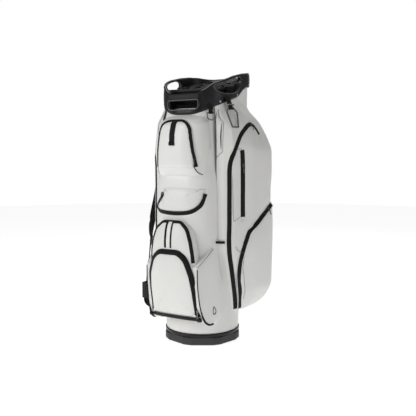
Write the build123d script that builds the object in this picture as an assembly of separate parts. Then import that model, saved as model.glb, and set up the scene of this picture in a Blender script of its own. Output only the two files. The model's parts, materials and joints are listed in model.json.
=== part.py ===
"""A golf cart bag: an off-white club bag with a moulded slanted top and a turning base.

The base's underside is at z = 0 and its turning axis is the Z axis. The front, with the stacked
pockets, faces -Y. The right side is +X. All sizes are in millimetres.
"""

import os
from math import cos, radians, sin

from build123d import *

# ---- driving dimensions ----
BASE_R = 130.0  # rotating foot and base ring
FOOT_TOP = 28.0
FOOT_FLAT = 128.0  # from the axis to the foot's flats
FOOT_CORNER = 133.0  # and to its corners
CUP_BOTTOM = 29.6
CUP_TOP = 41.0
CUP_FLOOR = 45.0
WALL = 2.2  # sewn shell, leather over foam
BOLT_R = 5.0
RUNNING = 0.05  # radial clearance of the pivot
GAP = 0.4  # between a moving piece and what it moves over

COLLAR_X = 125.0  # half width
COLLAR_FRONT = -125.0
COLLAR_BACK = 175.0
COLLAR_R = 84.0
COLLAR_WALL = 12.0
SKIRT = 12.0  # the collar's lower edge outside the tube

# the collar's top and lower edges from front to back, as (y, z)
RIM = [(-131, 836), (-112, 840), (-80, 874), (-10, 899), (56, 914), (110, 921), (181, 919)]
SKIRT_EDGE = [(-131, 769), (-110, 774), (-74, 803), (32, 834), (62, 858), (90, 872), (181, 883)]

# rounded sections of the tube and of the front gusset: z, half width, front y, back y, radius
TUBE = [
    (CUP_TOP, 126, -126, 126, 125),
    (120, 125, -124, 126, 112),
    (260, 121, -104, 142, 85),
    (600, 120, -93, 155, 75),
    (960, 119, -88, 165, 72),
]
GUSSET = [
    (92, 98, -134, -10, 30),
    (130, 105, -177, -10, 50),
    (300, 104, -178, -10, 50),
    (470, 100, -174, -10, 50),
    (565, 100, -166, -10, 50),
    (600, 98, -150, -10, 50),
    (745, 94, -130, -10, 48),
    (800, 88, -106, -10, 40),
]
VALUABLES = [
    (566, 94, -160, -10, 48),
    (582, 100, -180, -10, 54),
    (655, 103, -187, -10, 58),
    (700, 102, -180, -10, 58),
    (745, 98, -158, -10, 54),
    (776, 94, -130, -10, 48),
]

# horizontal outlines of the right side pocket, its front edge first: z, points
POCKET_FULL = [(94, -92), (140, -80), (154, -60), (190, 12), (206, 162), (60, 162)]
POCKET_NECK = [(92, -90), (125, -78), (127, -60), (128, 12), (128, 152), (60, 152)]
POCKET_LEVELS = [
    (105, [(104, -14), (132, -8), (150, 12), (163, 50), (172, 140), (60, 140)]),
    (180, [(108, -40), (137, -34), (160, -8), (186, 45), (204, 160), (60, 160)]),
    (335, POCKET_FULL),
    (660, POCKET_FULL),
    (835, POCKET_NECK),
    (890, POCKET_NECK),
]
POCKET_CORNER = (0, 0, 4, 30, 46, 0)  # corner radii of those outlines

MID_DEPTH = 5.0  # how far the middle pocket stands off the gusset
# the front of the cooler pocket, leaning, as (y, z)
COOLER_FRONT = [(-190.8, 100), (-210, 262), (-216, 345)]

DIVIDER_T = 3.0
DIVIDER_BOTTOM = 78.0
DIVIDER_GAP = 0.3  # between panels that meet
DIVIDER_TOP = 862.0  # at the first cross divider
DIVIDER_SLOPE = 0.22  # rise of the dividers' edge per mm towards the back
CROSS_Y = (-50.0, 20.0, 90.0)
BACK_Y = 170.0
LONG_X = ((-68, -23, 23, 68), (-56, 0, 56), (-56, 0, 56))  # behind each cross divider

CHANNEL = (-111.0, -99.0, 655.0, 742.0)  # strap pass-through: y and z limits
GRIP = (-126.0, -106.0, 816.0, 837.0)  # front grip bar: y and z limits
GRIP_X = 56.0

QUICK_X = 110.0  # outer face of the quick-access pockets
ZIP_W = 18.0
ZIP_T = 1.6
SPINE_T = 10.0
TAPE_RISE = 3.2  # how far a side pocket's tape stands off its path


# ---- helpers ----
def rounded(z, x_half, y_front, y_back, radius):
    """A rounded rectangle that lies level at height z."""
    middle = Pos(0, (y_front + y_back) / 2, z)
    return middle * RectangleRounded(2 * x_half, y_back - y_front, radius)


def stack(sections, inset=0.0):
    """A solid through level rounded sections, each drawn in by inset."""
    faces = [
        rounded(z, x - inset, front + inset, back - inset, radius - inset)
        for z, x, front, back, radius in sections
    ]
    return loft(faces, ruled=True)


def box(x, y, z):
    """A block between pairs of limits."""
    size = Box(x[1] - x[0], y[1] - y[0], z[1] - z[0])
    return Pos((x[0] + x[1]) / 2, (y[0] + y[1]) / 2, (z[0] + z[1]) / 2) * size


def side_profile(points, half=400.0):
    """A closed outline in (y, z), carried right across in x."""
    face = make_face(Polyline(*points, close=True))
    return extrude(Plane.YZ * face, amount=half, both=True)


def front_profile(points, y_from, y_to):
    """A closed outline in (x, z), carried from y_from to y_to."""
    face = make_face(Polyline(*points, close=True))
    return extrude(Plane.XZ.offset(-y_to) * face, amount=y_to - y_from)


def below(edge):
    """Everything under an edge line given as (y, z)."""
    return side_profile(list(edge) + [(edge[-1][0], -400), (edge[0][0], -400)])


def raised(edge, rise):
    return [(y, z + rise) for y, z in edge]


def rod(start, end, radius):
    """A round rod between two points."""
    start, end = Vector(*start), Vector(*end)
    plane = Plane(origin=start, z_dir=end - start)
    aligned = (Align.CENTER, Align.CENTER, Align.MIN)
    return plane * Cylinder(radius, (end - start).length, align=aligned)


def band(points, outward, width, thickness):
    """A flat strip along points, lying on a surface whose outward directions are given."""
    points = [Vector(*p) for p in points]
    faces = []
    for i, (point, out) in enumerate(zip(points, outward)):
        before, after = points[max(i - 1, 0)], points[min(i + 1, len(points) - 1)]
        plane = Plane(origin=point, z_dir=after - before, x_dir=Vector(*out))
        faces.append(plane * Pos(thickness / 2, 0) * Rectangle(thickness, width))
    return loft(faces, ruled=True)


def mirrored(shape):
    return mirror(shape, about=Plane.YZ)


def arch(half_top, half_base, z_low, z_high, radius, y_front, y_back, flare):
    """A pocket with a rounded top that widens by flare from its face to its back."""
    faces = []
    for y, grow in ((y_front, 0.0), (y_back, flare)):
        outline = [
            (-half_base - grow, z_low),
            (half_base + grow, z_low),
            (half_top + grow, z_high + grow / 2),
            (-half_top - grow, z_high + grow / 2),
        ]
        corners = (12, 12, radius, radius)
        wire = FilletPolyline(*outline, radius=corners, close=True)
        faces.append(Plane.XZ.offset(-y) * make_face(wire))
    return loft(faces, ruled=True)


def arch_zip(half_top, half_base, z_low, z_high, radius, width):
    """The face of a zip tape that follows an arch: up one leg, over, and down the other."""
    path = FilletPolyline(
        (-half_base, z_low), (-half_top, z_high), (half_top, z_high), (half_base, z_low),
        radius=radius,
    )
    return trace(path, line_width=width)


def on_front(face, y_from, y_to):
    """A flat (x, z) face carried through the depth of the front pockets."""
    return extrude(Plane.XZ.offset(-y_to) * face, amount=y_to - y_from)


# ---- base ----
def rotating_foot():
    """Dark foot that the bag turns on: eight flats round its edge, and a hollow underside."""
    aligned = (Align.CENTER, Align.CENTER, Align.MIN)
    flats = Rot(0, 0, -37.5) * RegularPolygon(FOOT_FLAT, 8, major_radius=False)
    foot = Pos(0, 0, 2) * (extrude(flats, FOOT_TOP - 2) & Cylinder(FOOT_CORNER, 60, align=aligned))
    foot = chamfer(foot.edges().group_by(Axis.Z)[0], 4)
    foot -= Pos(0, 0, 12) * (Cylinder(100, 20) - Cylinder(34, 22))
    foot -= Pos(0, 0, 15) * Cylinder(BOLT_R + RUNNING, 40)
    foot -= Pos(0, 0, 10) * Cylinder(14, 10)
    return foot - foot_pads()


def foot_pads():
    """Rubber pads let into the foot, one in the middle and eight round its edge."""
    pads = [Pos(0, 0, 2.5) * Cylinder(20, 5)]
    count = 8
    for i in range(count):
        angle = radians(360 / count * i)
        pads.append(Pos(112 * cos(angle), 112 * sin(angle), 2.5) * Cylinder(9, 5))
    return Part() + pads


def thrust_washer():
    ring = Cylinder(60, 1.2) - Cylinder(20, 2)
    return Pos(0, 0, CUP_BOTTOM - 0.6) * ring


def pivot_bolt():
    """Shank and hexagonal head; the head sits in the foot with room to turn."""
    shank = Pos(0, 0, 9) * Cylinder(BOLT_R, 46, align=(Align.CENTER, Align.CENTER, Align.MIN))
    head = Pos(0, 0, 8.6) * extrude(RegularPolygon(8.5, 6), 6)
    return shank + head


def pivot_nut():
    nut = Pos(0, 0, CUP_FLOOR) * extrude(RegularPolygon(9, 6), 8)
    return nut - Pos(0, 0, CUP_FLOOR) * Cylinder(BOLT_R, 40)


def base_cup():
    """Black ring under the tube, with a floor and an upright wall inside the tube."""
    aligned = (Align.CENTER, Align.CENTER, Align.MIN)
    ring = Pos(0, 0, CUP_BOTTOM) * Cylinder(BASE_R, CUP_TOP - CUP_BOTTOM, align=aligned)
    ring = fillet(ring.edges().group_by(Axis.Z)[-1], 3)
    wall = Pos(0, 0, CUP_TOP - 1) * (
        Cylinder(122, 34, align=aligned) - Pos(0, 0, 5) * Cylinder(118.5, 40, align=aligned)
    )
    groove = Pos(0, 0, CUP_BOTTOM + 3) * (Cylinder(118, 7) - Cylinder(62, 8))
    return ring + wall - groove - Pos(0, 0, 40) * Cylinder(BOLT_R, 60)


def floor_pad():
    """Felt pad that the clubs stand on, with a hole over the pivot's nut."""
    return Pos(0, 0, CUP_FLOOR + 5) * (Cylinder(117, 10) - Cylinder(12, 12))


# ---- body ----
def tube_outer():
    return stack(TUBE)


def tube_inner(inset=WALL):
    return stack(TUBE, inset)


def tube_shell():
    return (tube_outer() - tube_inner()) & below(raised(SKIRT_EDGE, SKIRT))


def stays():
    """Four rods that hold the collar up: two in the front well, two inside the spine panel."""
    front = rod((82, -76, CUP_TOP + 16), (88, -63, 836), 4)
    rear = rod((30, 147.5, 255), (30, 167.4, 868), 3)
    return Part() + [front, mirrored(front), rear, mirrored(rear)]


def strap_channel_liner():
    """The wall between the front pockets and the pass-through for the cart's strap."""
    y = CHANNEL[0]
    wall = box((-108, 108), (y - 2.2, y - 0.8), (CHANNEL[2] - 12, CHANNEL[3] + 8))
    return wall & gusset_solid(WALL + 0.3)


def spine_panel():
    """Padded panel up the back of the tube."""
    panel = box((-42, 42), (120, 190), (150, 874)) & stack(TUBE, -SPINE_T)
    return panel - tube_outer() - collar_solid() - stays()


def rear_handle():
    """Webbing lift handle that bows out from the spine."""
    thickness = 5
    bow = [(164, 712), (187, 690), (193, 650), (192, 590), (184, 550), (160, 528)]
    outer = [(y + thickness, z) for y, z in reversed(bow)]
    handle = side_profile(bow + outer, half=13) - stack(TUBE, -SPINE_T)
    return max(handle.solids(), key=lambda solid: solid.volume)


# ---- top ----
def collar_plan(inset):
    outline = (0, COLLAR_X - inset, COLLAR_FRONT + inset, COLLAR_BACK - inset, COLLAR_R - inset)
    return rounded(*outline)


def collar_solid():
    """The collar's outer form with no openings."""
    block = extrude(Pos(0, 0, 700) * collar_plan(0), 300)
    return (block & below(RIM)) - below(SKIRT_EDGE)


def collar():
    """Moulded top ring with a front handle opening and one at each side."""
    shell = collar_solid() - extrude(Pos(0, 0, 700) * collar_plan(COLLAR_WALL), 300)
    seat = stack(TUBE) & below(raised(SKIRT_EDGE, SKIRT))
    shell -= seat
    socket = rod((88, -63, 816), (88, -63, 842), 24) & box((60, 120), (-100, -55), (800, 860))
    socket = (socket & collar_solid()) - seat
    shell += socket
    shell += mirrored(socket)
    front_opening = box((-GRIP_X, GRIP_X), (-140, -85), (787, 960))
    side_opening = side_profile([
        (-84, 858), (-66, 843), (10, 848), (36, 871), (42, 896), (22, 897), (-10, 887), (-60, 870),
    ])
    return shell - front_opening - side_opening - stays()


def front_grip():
    """Padded bar over the front opening."""
    grip = box((-GRIP_X, GRIP_X), GRIP[:2], GRIP[2:])
    return fillet(grip.edges().filter_by(Axis.X), 6)


def collar_screws():
    """Short screws through the collar's skirt into the tube, two at each side."""
    screws = []
    for y, z in ((-60, 812), (20, 838)):
        for side in (-1, 1):
            screws.append(Pos(side * (COLLAR_X + 0.9), y, z) * Rot(0, 90, 0) * Cylinder(4, 1.8))
    return Part() + screws


def divider_edge(rise=0.0):
    """The slanted line that the dividers' top edges lie on."""
    low_y, high_y = -120, 190
    return [
        (low_y, DIVIDER_TOP + rise + DIVIDER_SLOPE * (low_y - CROSS_Y[0])),
        (high_y, DIVIDER_TOP + rise + DIVIDER_SLOPE * (high_y - CROSS_Y[0])),
    ]


def divider_blocks(thickness, z_low, z_high):
    """Upright panels that part the club wells: rows across, then lengthways in each row."""
    half = thickness / 2
    reach = half + DIVIDER_GAP
    blocks = []
    for row, y in enumerate(CROSS_Y):
        blocks.append(box((-130, 130), (y - half, y + half), (z_low, z_high)))
        next_y = CROSS_Y[row + 1] if row + 1 < len(CROSS_Y) else BACK_Y
        for x in LONG_X[row]:
            blocks.append(box((x - half, x + half), (y + reach, next_y - reach), (z_low, z_high)))
    return blocks


def divider_panels():
    """Full-length fabric panels, each its own convex solid."""
    collar_room = extrude(Pos(0, 0, 40) * collar_plan(COLLAR_WALL + 0.5), 960)
    room = (tube_inner(WALL + 0.5) & collar_room & below(divider_edge(-8))) - stays()
    return Part() + [block & room for block in divider_blocks(DIVIDER_T, DIVIDER_BOTTOM, 960)]


def divider_caps():
    """Moulded edges on top of the divider panels, held by the collar."""
    room = extrude(Pos(0, 0, 700) * collar_plan(COLLAR_WALL + 0.2), 300)
    room = (room & below(divider_edge())) - below(divider_edge(-8)) - stays()
    return Part() + [block & room for block in divider_blocks(7, 780, 960)]


# ---- front pockets ----
def gusset_solid(inset=0.0):
    return stack(GUSSET, inset)


def front_gusset():
    """The block behind the front pockets, open inside and slit at each side for the strap."""
    shell = gusset_solid() - gusset_solid(WALL) - tube_outer() - collar_solid()
    slit = box((-200, 200), CHANNEL[:2], CHANNEL[2:])
    shell = shell - slit
    return shell & box((-200, 200), (-300, -60), (0, 900))


def valuables_solid(inset=0.0):
    return stack(VALUABLES, inset)


def valuables_pocket():
    shell = (valuables_solid() - valuables_solid(WALL)) & box((-200, 200), (-300, -118), (500, 900))
    return shell - gusset_solid() - tube_outer() - collar_solid()


def mid_outline():
    """The low middle pocket: level top, slanted left end, rounded bottom."""
    return FilletPolyline(
        (-46, 536), (-80, 480), (-70, 450), (70, 450), (93, 536), radius=(3, 18, 20, 40, 3), close=True,
    )


def mid_solid(depth):
    """The middle pocket's form, standing off the gusset by depth and wrapping round its corners."""
    return on_front(make_face(mid_outline()), -220, -112) & gusset_solid(-depth)


def mid_pocket():
    return mid_solid(MID_DEPTH) - gusset_solid()


BALL = dict(half_top=60, half_base=88, z_low=290, z_high=430, radius=44)
COOLER = dict(half_top=74, half_base=103, z_low=118, z_high=336, radius=34)


def ball_solid(y_front=-202):
    return arch(**BALL, y_front=y_front, y_back=-165, flare=12)


def cooler_solid(y_front=-216):
    block = arch(**COOLER, y_front=y_front, y_back=-165, flare=8)
    return block & side_profile(COOLER_FRONT + [(-100, 345), (-100, 100)])


def ball_pocket():
    hollow = arch(56, 84, 292, 426, 42, -202 + WALL, -150, 8)
    outer = ball_solid() - gusset_solid() - hollow
    return outer - cooler_solid() - Pos(0, -ZIP_T, 0) * cooler_solid()


def cooler_pocket():
    hollow = arch(72, 100, 122, 332, 34, -216 + WALL, -150, 6) & Pos(0, WALL, 0) * cooler_solid()
    return cooler_solid() - gusset_solid() - hollow


def cooler_binding():
    """Black edging under the cooler pocket, with a small pointed corner at each end."""
    edge = front_profile(
        [(-104, 118), (104, 118), (106, 108), (92, 112), (-92, 112), (-106, 108)], -193, -176,
    )
    return edge - gusset_solid() - cooler_solid()


# ---- side pockets ----
def outline_at(height, points, inset):
    """A level outline of the right side pocket, drawn in by inset away from the tube."""
    centre = Vector(110, 60)
    moved = []
    for x, y in points:
        direction = Vector(x, y) - centre
        moved.append(tuple(Vector(x, y) - direction.normalized() * inset)[:2])
    wire = FilletPolyline(*moved, radius=POCKET_CORNER, close=True)
    return Pos(0, 0, height) * make_face(wire)


def side_solid(inset=0.0):
    """The right side pocket: narrow below, full at mid height, drawn in to the collar's edge."""
    block = loft([outline_at(z, points, inset) for z, points in POCKET_LEVELS], ruled=True)
    return block & below(raised(SKIRT_EDGE, -GAP - inset))


def side_pocket():
    hollow = side_solid(WALL) & box((0, 300), (-200, 300), (105 + WALL, 1000))
    shell = side_solid() - hollow - tube_outer()
    return shell - gusset_solid() - collar_solid()


def rear_pocket():
    """Raised lower pocket on the side pocket's rear half, under the diagonal zip."""
    outline = side_profile([
        (14, 150), (2, 200), (-12, 240), (-2, 300), (24, 355), (76, 408), (112, 430),
        (150, 440), (150, 200), (110, 150),
    ])
    skin = side_solid(-4) & outline & box((150, 300), (-100, 155), (100, 500))
    return skin - side_solid() - band(REAR_PATH, REAR_OUT, ZIP_W + 0.8, 30)


def quick_pocket():
    """Flat pocket low on the side, between the front gusset and the side pocket."""
    outline = side_profile([
        (-126, 340), (-168, 306), (-172, 190), (-160, 120), (-135, 98), (-70, 96), (-86, 190),
    ])
    slab = outline & box((60, QUICK_X), (-200, 0), (80, 400))
    return slab - gusset_solid() - tube_outer() - side_solid() - cooler_solid() - ball_solid()


# ---- zip tapes ----
APPAREL_PATH = [
    (142, 6, 112), (149, -22, 180), (148, -70, 335), (148, -70, 600), (154.6, -58.8, 641),
    (159.4, -44.4, 672), (161.7, -22.3, 703), (164, -0.5, 722), (163.1, 31, 739),
    (162.8, 50, 743), (165.4, 68.5, 739), (172.2, 75.9, 723), (178.7, 80.4, 707),
]
APPAREL_OUT = [(0.72, -0.69, 0), (0.75, -0.66, 0), (0.82, -0.57, 0), (0.82, -0.57, 0),
               (0.86, -0.5, 0), (0.89, -0.44, 0.1), (0.9, -0.36, 0.24), (0.91, -0.3, 0.28)]
APPAREL_OUT += [(0.94, -0.06, 0.34)] * 5
VEST_PATH = [(173.0, -21, 446), (173.0, -21, 650)]
VEST_OUT = [(0.894, -0.447, 0)] * 2
REAR_PATH = [
    (157, 14, 122), (165, 0, 180), (169, -22, 236), (178, -10, 300), (190.5, 13, 360),
    (196.4, 70, 412), (200.4, 108, 436), (199.4, 130, 448),
]
REAR_OUT = [(0.85, -0.5, 0)] * 2 + [(0.894, -0.447, 0)] * 2 + [(0.95, -0.3, 0)] + [(1, -0.1, 0)] * 2
REAR_OUT += [(0.94, 0.34, 0)]


def side_zip(path, outward, width):
    return band(path, outward, width, TAPE_RISE) - side_solid()


def front_tape(face, surface_low, surface_high):
    """A zip tape as the skin between two forms of a pocket's front."""
    return (on_front(face, -260, -160) & surface_high) - surface_low


def valuables_zip():
    face = arch_zip(52, 69, 606, 746, 40, 9)
    high = Pos(0, -ZIP_T, 0) * valuables_solid()
    return front_tape(face, valuables_solid(), high)


def mid_zip():
    path = FilletPolyline(
        (-45, 531), (-79, 477), (-69, 450), (68, 450), (90, 522), radius=(18, 20, 40),
    )
    face = trace(path, line_width=11)
    return (on_front(face, -220, -112) & gusset_solid(-MID_DEPTH - ZIP_T)) - gusset_solid(-MID_DEPTH)


def ball_zip():
    face = arch_zip(60, 87, 300, 429, 44, 9)
    high = Pos(0, -ZIP_T, 0) * ball_solid()
    return front_tape(face, ball_solid(), high) - cooler_solid()


def cooler_zip():
    face = arch_zip(74, 102, 122, 334, 34, 14)
    high = Pos(0, -ZIP_T, 0) * cooler_solid()
    return front_tape(face, cooler_solid(), high) - gusset_solid()


# ---- zip sliders: where it rests, a point further along its straight run, outward, pull's direction ----
DOWN = (0, 0, -1)
SLIDERS = {
    "valuables_slider": ((67.5, -188.6, 622), (63.5, -183.4, 700), (0, -1, 0), DOWN),
    "mid_slider": ((-52, -179.2, 519), (-70, -179.2, 487), (0, -1, 0), DOWN),
    "ball_slider": ((-72.4, -203.6, 368), (-66.4, -203.6, 398), (0, -1, 0), DOWN),
    "cooler_slider": ((100.8, -197.5, 136), (86.9, -209.8, 240), (0, -1, 0), DOWN),
    "apparel_slider": ((164.4, 47, 741.4), (165.4, -0.7, 722.4), (0.93, -0.12, 0.33), (0.33, -0.1, -0.94)),
    "vest_slider": ((173, -21, 615), (173, -21, 460), (0.894, -0.447, 0), DOWN),
    "rear_slider": ((200.1, 105, 434), (196.4, 70, 412), (1, -0.1, 0), DOWN),
}
SIDE_SLIDERS = ("apparel_slider", "vest_slider", "rear_slider")


def slider(name):
    """A zip slider with its pull: a low block and a tab that lies down from it."""
    rest, further, outward, pull_way = SLIDERS[name]
    out = Vector(*outward).normalized()
    lift = GAP + (TAPE_RISE if name in SIDE_SLIDERS else 0)
    travel = Vector(*further) - Vector(*rest)
    plane = Plane(origin=Vector(*rest) + out * (lift + 1.6), z_dir=out, x_dir=travel)
    block = chamfer(Box(11, 8, 3.2).edges().filter_by(Axis.Z), 1.5)
    loop = Pos(0, 0, 2.4) * Box(6, 4, 2.4)
    way = Vector(*pull_way).normalized()
    head = plane.origin + out * 4.2
    pull_plane = Plane(origin=head + way * 10, x_dir=way, z_dir=out)
    pull = pull_plane * Box(26, 6, 2)
    return plane * (block + loop) + pull


# ---- straps and hardware ----
def pull_strap():
    """Webbing strap hanging down the valuables pocket's door."""
    path = [(0, -164, 744), (0, -185, 700), (0, -192, 668)]
    out = [(0, -1, 0.4), (0, -1, 0.1), (0, -1, 0)]
    return band(path, out, 20, 2.4) - Pos(0, -0.3, 0) * valuables_solid() - valuables_zip()


def ball_strap():
    """Striped strap down the middle of the ball pocket."""
    return box((-14, 12), (-204.6, -202.1), (343, 425)) - ball_zip()


def keeper_tabs():
    """Short webbing loop on each side pocket's front wall, beside the gusset."""
    tab = band([(101, -90.4, 353), (131, -82.6, 353)], [(0.25, -0.97, 0)] * 2, 8, 3)
    tab = tab - gusset_solid() - tube_outer() - side_solid()
    return Part() + [tab, mirrored(tab)]


def side_badges():
    """Plain ring rivet on each quick-access pocket."""
    ring = Pos(QUICK_X + 0.6, -148, 142) * Rot(0, 90, 0) * (Cylinder(9, 1.2) - Cylinder(6, 2))
    return Part() + [ring, mirrored(ring)]


D_RING_AT = (95.5, -108.5, 774.0)  # middle of the bar that the D-ring turns on
D_RING_ALONG = Vector(0.7071, 0.7071, 0)  # along its bar
D_RING_DOWN = Vector(0.25, -0.25, -0.9354)  # from the bar to the foot of the ring
D_RING_WIRE = 1.5
D_RING_HALF = 13.0
D_RING_LEG = 12.0
TOWEL_AT = (138.5, -50.0, 790.0)
TOWEL_ALONG = Vector(0.22, 0.9755, 0)
TOWEL_DOWN = Vector(0.29, -0.0654, -0.9548)
TOWEL_WIRE = 1.8


def webbing_loop(at, along, points, width, thickness, wire):
    """Webbing folded over a ring's bar, with a running hole for the bar."""
    out = along.cross(Vector(0, 0, 1)).normalized()
    loop = band(points, [out] * len(points), width, thickness)
    loop += Plane(origin=Vector(*at), z_dir=along) * Cylinder(wire + 2.2, width)
    return loop - Plane(origin=Vector(*at), z_dir=along) * Cylinder(wire + RUNNING, 90)


def ring_wire(at, along, down, points, corner, wire):
    """A closed wire ring: points are distances along its bar and down from it."""
    plane = Plane(origin=Vector(*at), x_dir=along, z_dir=along.cross(down))
    path = plane * FilletPolyline(*points, radius=corner, close=True)
    start = Plane(origin=path @ 0, z_dir=path % 0)
    return sweep(start * Circle(wire), path=path)


def d_ring_tab():
    """Webbing loop under the collar that holds the D-ring."""
    x, y, z = D_RING_AT
    points = [(x - 1.5, y + 1.5, z + 26), (x - 1.5, y + 1.5, z - 1)]
    strap = webbing_loop(D_RING_AT, D_RING_ALONG, points, 14, 4, D_RING_WIRE)
    return strap - valuables_solid() - tube_outer() - collar_solid()


def d_ring():
    """Ring with a flat bar at the top and a round foot."""
    low = D_RING_LEG + D_RING_HALF
    points = [(-D_RING_HALF, 0), (D_RING_HALF, 0), (D_RING_HALF, low), (-D_RING_HALF, low)]
    corner = (2, 2, D_RING_HALF - 0.5, D_RING_HALF - 0.5)
    return ring_wire(D_RING_AT, D_RING_ALONG, D_RING_DOWN, points, corner, D_RING_WIRE)


def towel_strap():
    """Webbing folded over the towel ring's bar."""
    x, y, z = TOWEL_AT
    points = [(x - 10.5, y, z + 34), (x - 7.5, y, z + 20), (x - 2, y, z - 1)]
    strap = webbing_loop(TOWEL_AT, TOWEL_ALONG, points, 22, 4, TOWEL_WIRE)
    return strap - collar_solid() - side_solid() - tube_outer()


def towel_slide():
    """Metal keeper across the towel strap."""
    x, y, z = TOWEL_AT
    plane = Plane(origin=(x - 3, y, z + 11), x_dir=TOWEL_ALONG, z_dir=TOWEL_DOWN)
    frame = plane * (Box(28, 11, 4) - Box(23, 6.5, 10))
    return frame - side_solid() - collar_solid() - towel_strap()


def towel_ring():
    """Tapered wire ring for a towel: wide at its shoulders, narrow at the foot."""
    points = [(-13, 0), (13, 0), (26, 12), (15, 64), (-15, 64), (-26, 12)]
    return ring_wire(TOWEL_AT, TOWEL_ALONG, TOWEL_DOWN, points, 3, TOWEL_WIRE)


STRAP_PATH = [
    (-190, 84, 735), (-217, 70, 650), (-219, 48, 520), (-201, -14, 430), (-175, -66, 340), (-169, -91, 260),
]
STRAP_OUT = [(-0.9, 0.1, 0.3), (-1, 0, 0.1), (-1, -0.1, 0), (-0.9, -0.4, 0), (-0.85, -0.5, 0),
             (-0.8, -0.6, 0)]


def side_room():
    """What the shoulder strap keeps clear of on the left side."""
    return mirrored(side_solid(-0.5)) + mirrored(rear_pocket())


def shoulder_pad():
    """Padded middle of the shoulder strap, hanging outside the left pocket."""
    return band(STRAP_PATH[1:5], STRAP_OUT[1:5], 46, 8) - side_room()


def strap_upper():
    path = [(-129, 108, 800), (-160, 100, 776)] + STRAP_PATH[:2]
    out = [(-0.6, 0.2, 0.7), (-0.6, 0.2, 0.7)] + STRAP_OUT[:2]
    strap = band(path, out, 28, 3) - side_room() - collar_solid() - tube_outer()
    return strap - shoulder_pad()


def strap_lower():
    path = STRAP_PATH[4:] + [(-167, -101, 190)]
    out = STRAP_OUT[4:] + [(-0.8, -0.6, 0)]
    return band(path, out, 28, 3) - side_room() - shoulder_pad() - strap_buckle()


def strap_buckle():
    """Side-release buckle near the strap's lower end."""
    return box((-174, -160), (-121, -89), (140, 196)) - side_room()


def strap_tail():
    """Webbing from the buckle to the anchor sewn low on the left side."""
    path = [(-166, -104, 142), (-153, -106, 119), (-113, -106, 107)]
    out = [(-0.9, -0.3, -0.3), (-0.5, -0.3, -0.8), (-0.2, -0.3, -0.9)]
    strap = band(path, out, 28, 3)
    return strap - strap_buckle() - side_room() - gusset_solid() - mirrored(quick_pocket()) - tube_outer()


def strap_anchor():
    """Rivets that pin the shoulder strap's upper end under the collar."""
    out = Vector(-0.6, 0.2, 0.7).normalized()
    rivets = [Plane(origin=Vector(-145, 104 + dy, 788) + out * 5.4, z_dir=out) * Cylinder(3.5, 1.6)
              for dy in (-6, 6)]
    return Part() + rivets - strap_upper() - side_room()


def build_nodes():
    """Every piece by name."""
    nodes = {
        "rotating_foot": rotating_foot(),
        "foot_pads": foot_pads(),
        "thrust_washer": thrust_washer(),
        "pivot_bolt": pivot_bolt(),
        "pivot_nut": pivot_nut(),
        "base_cup": base_cup(),
        "floor_pad": floor_pad(),
        "tube_shell": tube_shell(),
        "stays": stays(),
        "strap_channel_liner": strap_channel_liner(),
        "spine_panel": spine_panel(),
        "rear_handle": rear_handle(),
        "collar": collar(),
        "front_grip": front_grip(),
        "collar_screws": collar_screws(),
        "divider_panels": divider_panels(),
        "divider_caps": divider_caps(),
        "front_gusset": front_gusset(),
        "valuables_pocket": valuables_pocket(),
        "mid_pocket": mid_pocket(),
        "ball_pocket": ball_pocket(),
        "cooler_pocket": cooler_pocket(),
        "cooler_binding": cooler_binding(),
        "valuables_zip": valuables_zip(),
        "mid_zip": mid_zip(),
        "ball_zip": ball_zip(),
        "cooler_zip": cooler_zip(),
        "pull_strap": pull_strap(),
        "ball_strap": ball_strap(),
        "keeper_tabs": keeper_tabs(),
        "side_badges": side_badges(),
        "d_ring_tab": d_ring_tab(),
        "d_ring": d_ring(),
        "towel_strap": towel_strap(),
        "towel_slide": towel_slide(),
        "towel_ring": towel_ring(),
        "shoulder_pad": shoulder_pad(),
        "strap_upper": strap_upper(),
        "strap_lower": strap_lower(),
        "strap_buckle": strap_buckle(),
        "strap_tail": strap_tail(),
        "strap_anchor": strap_anchor(),
    }
    pairs = {
        "rear_pockets": rear_pocket(),
        "apparel_zips": side_zip(APPAREL_PATH, APPAREL_OUT, ZIP_W),
        "vest_zips": side_zip(VEST_PATH, VEST_OUT, ZIP_W),
        "rear_zips": side_zip(REAR_PATH, REAR_OUT, ZIP_W),
    }
    for name, shape in pairs.items():
        nodes[name] = Part() + [shape, mirrored(shape)]
    right = {"side_pocket": side_pocket(), "quick_pocket": quick_pocket()}
    for name in SLIDERS:
        group = right if name in SIDE_SLIDERS else nodes
        group[name] = slider(name)
    for name, shape in right.items():
        nodes[name + "_right"] = shape
        nodes[name + "_left"] = mirrored(shape)
    return nodes


os.makedirs("parts", exist_ok=True)
for node_name, node_shape in build_nodes().items():
    export_step(node_shape, f"parts/{node_name}.step")
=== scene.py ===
"""Looks of a golf cart bag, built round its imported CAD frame.

Blender is in metres; the numbers here are millimetres unless they say otherwise, and to_m() turns
them into metres. +Z is up, the front with the stacked pockets is -Y, the bag's right side is +X.
"""

import json
import math

import bpy
import numpy as np
from mathutils import Matrix, Vector
from mathutils.bvhtree import BVHTree

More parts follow.
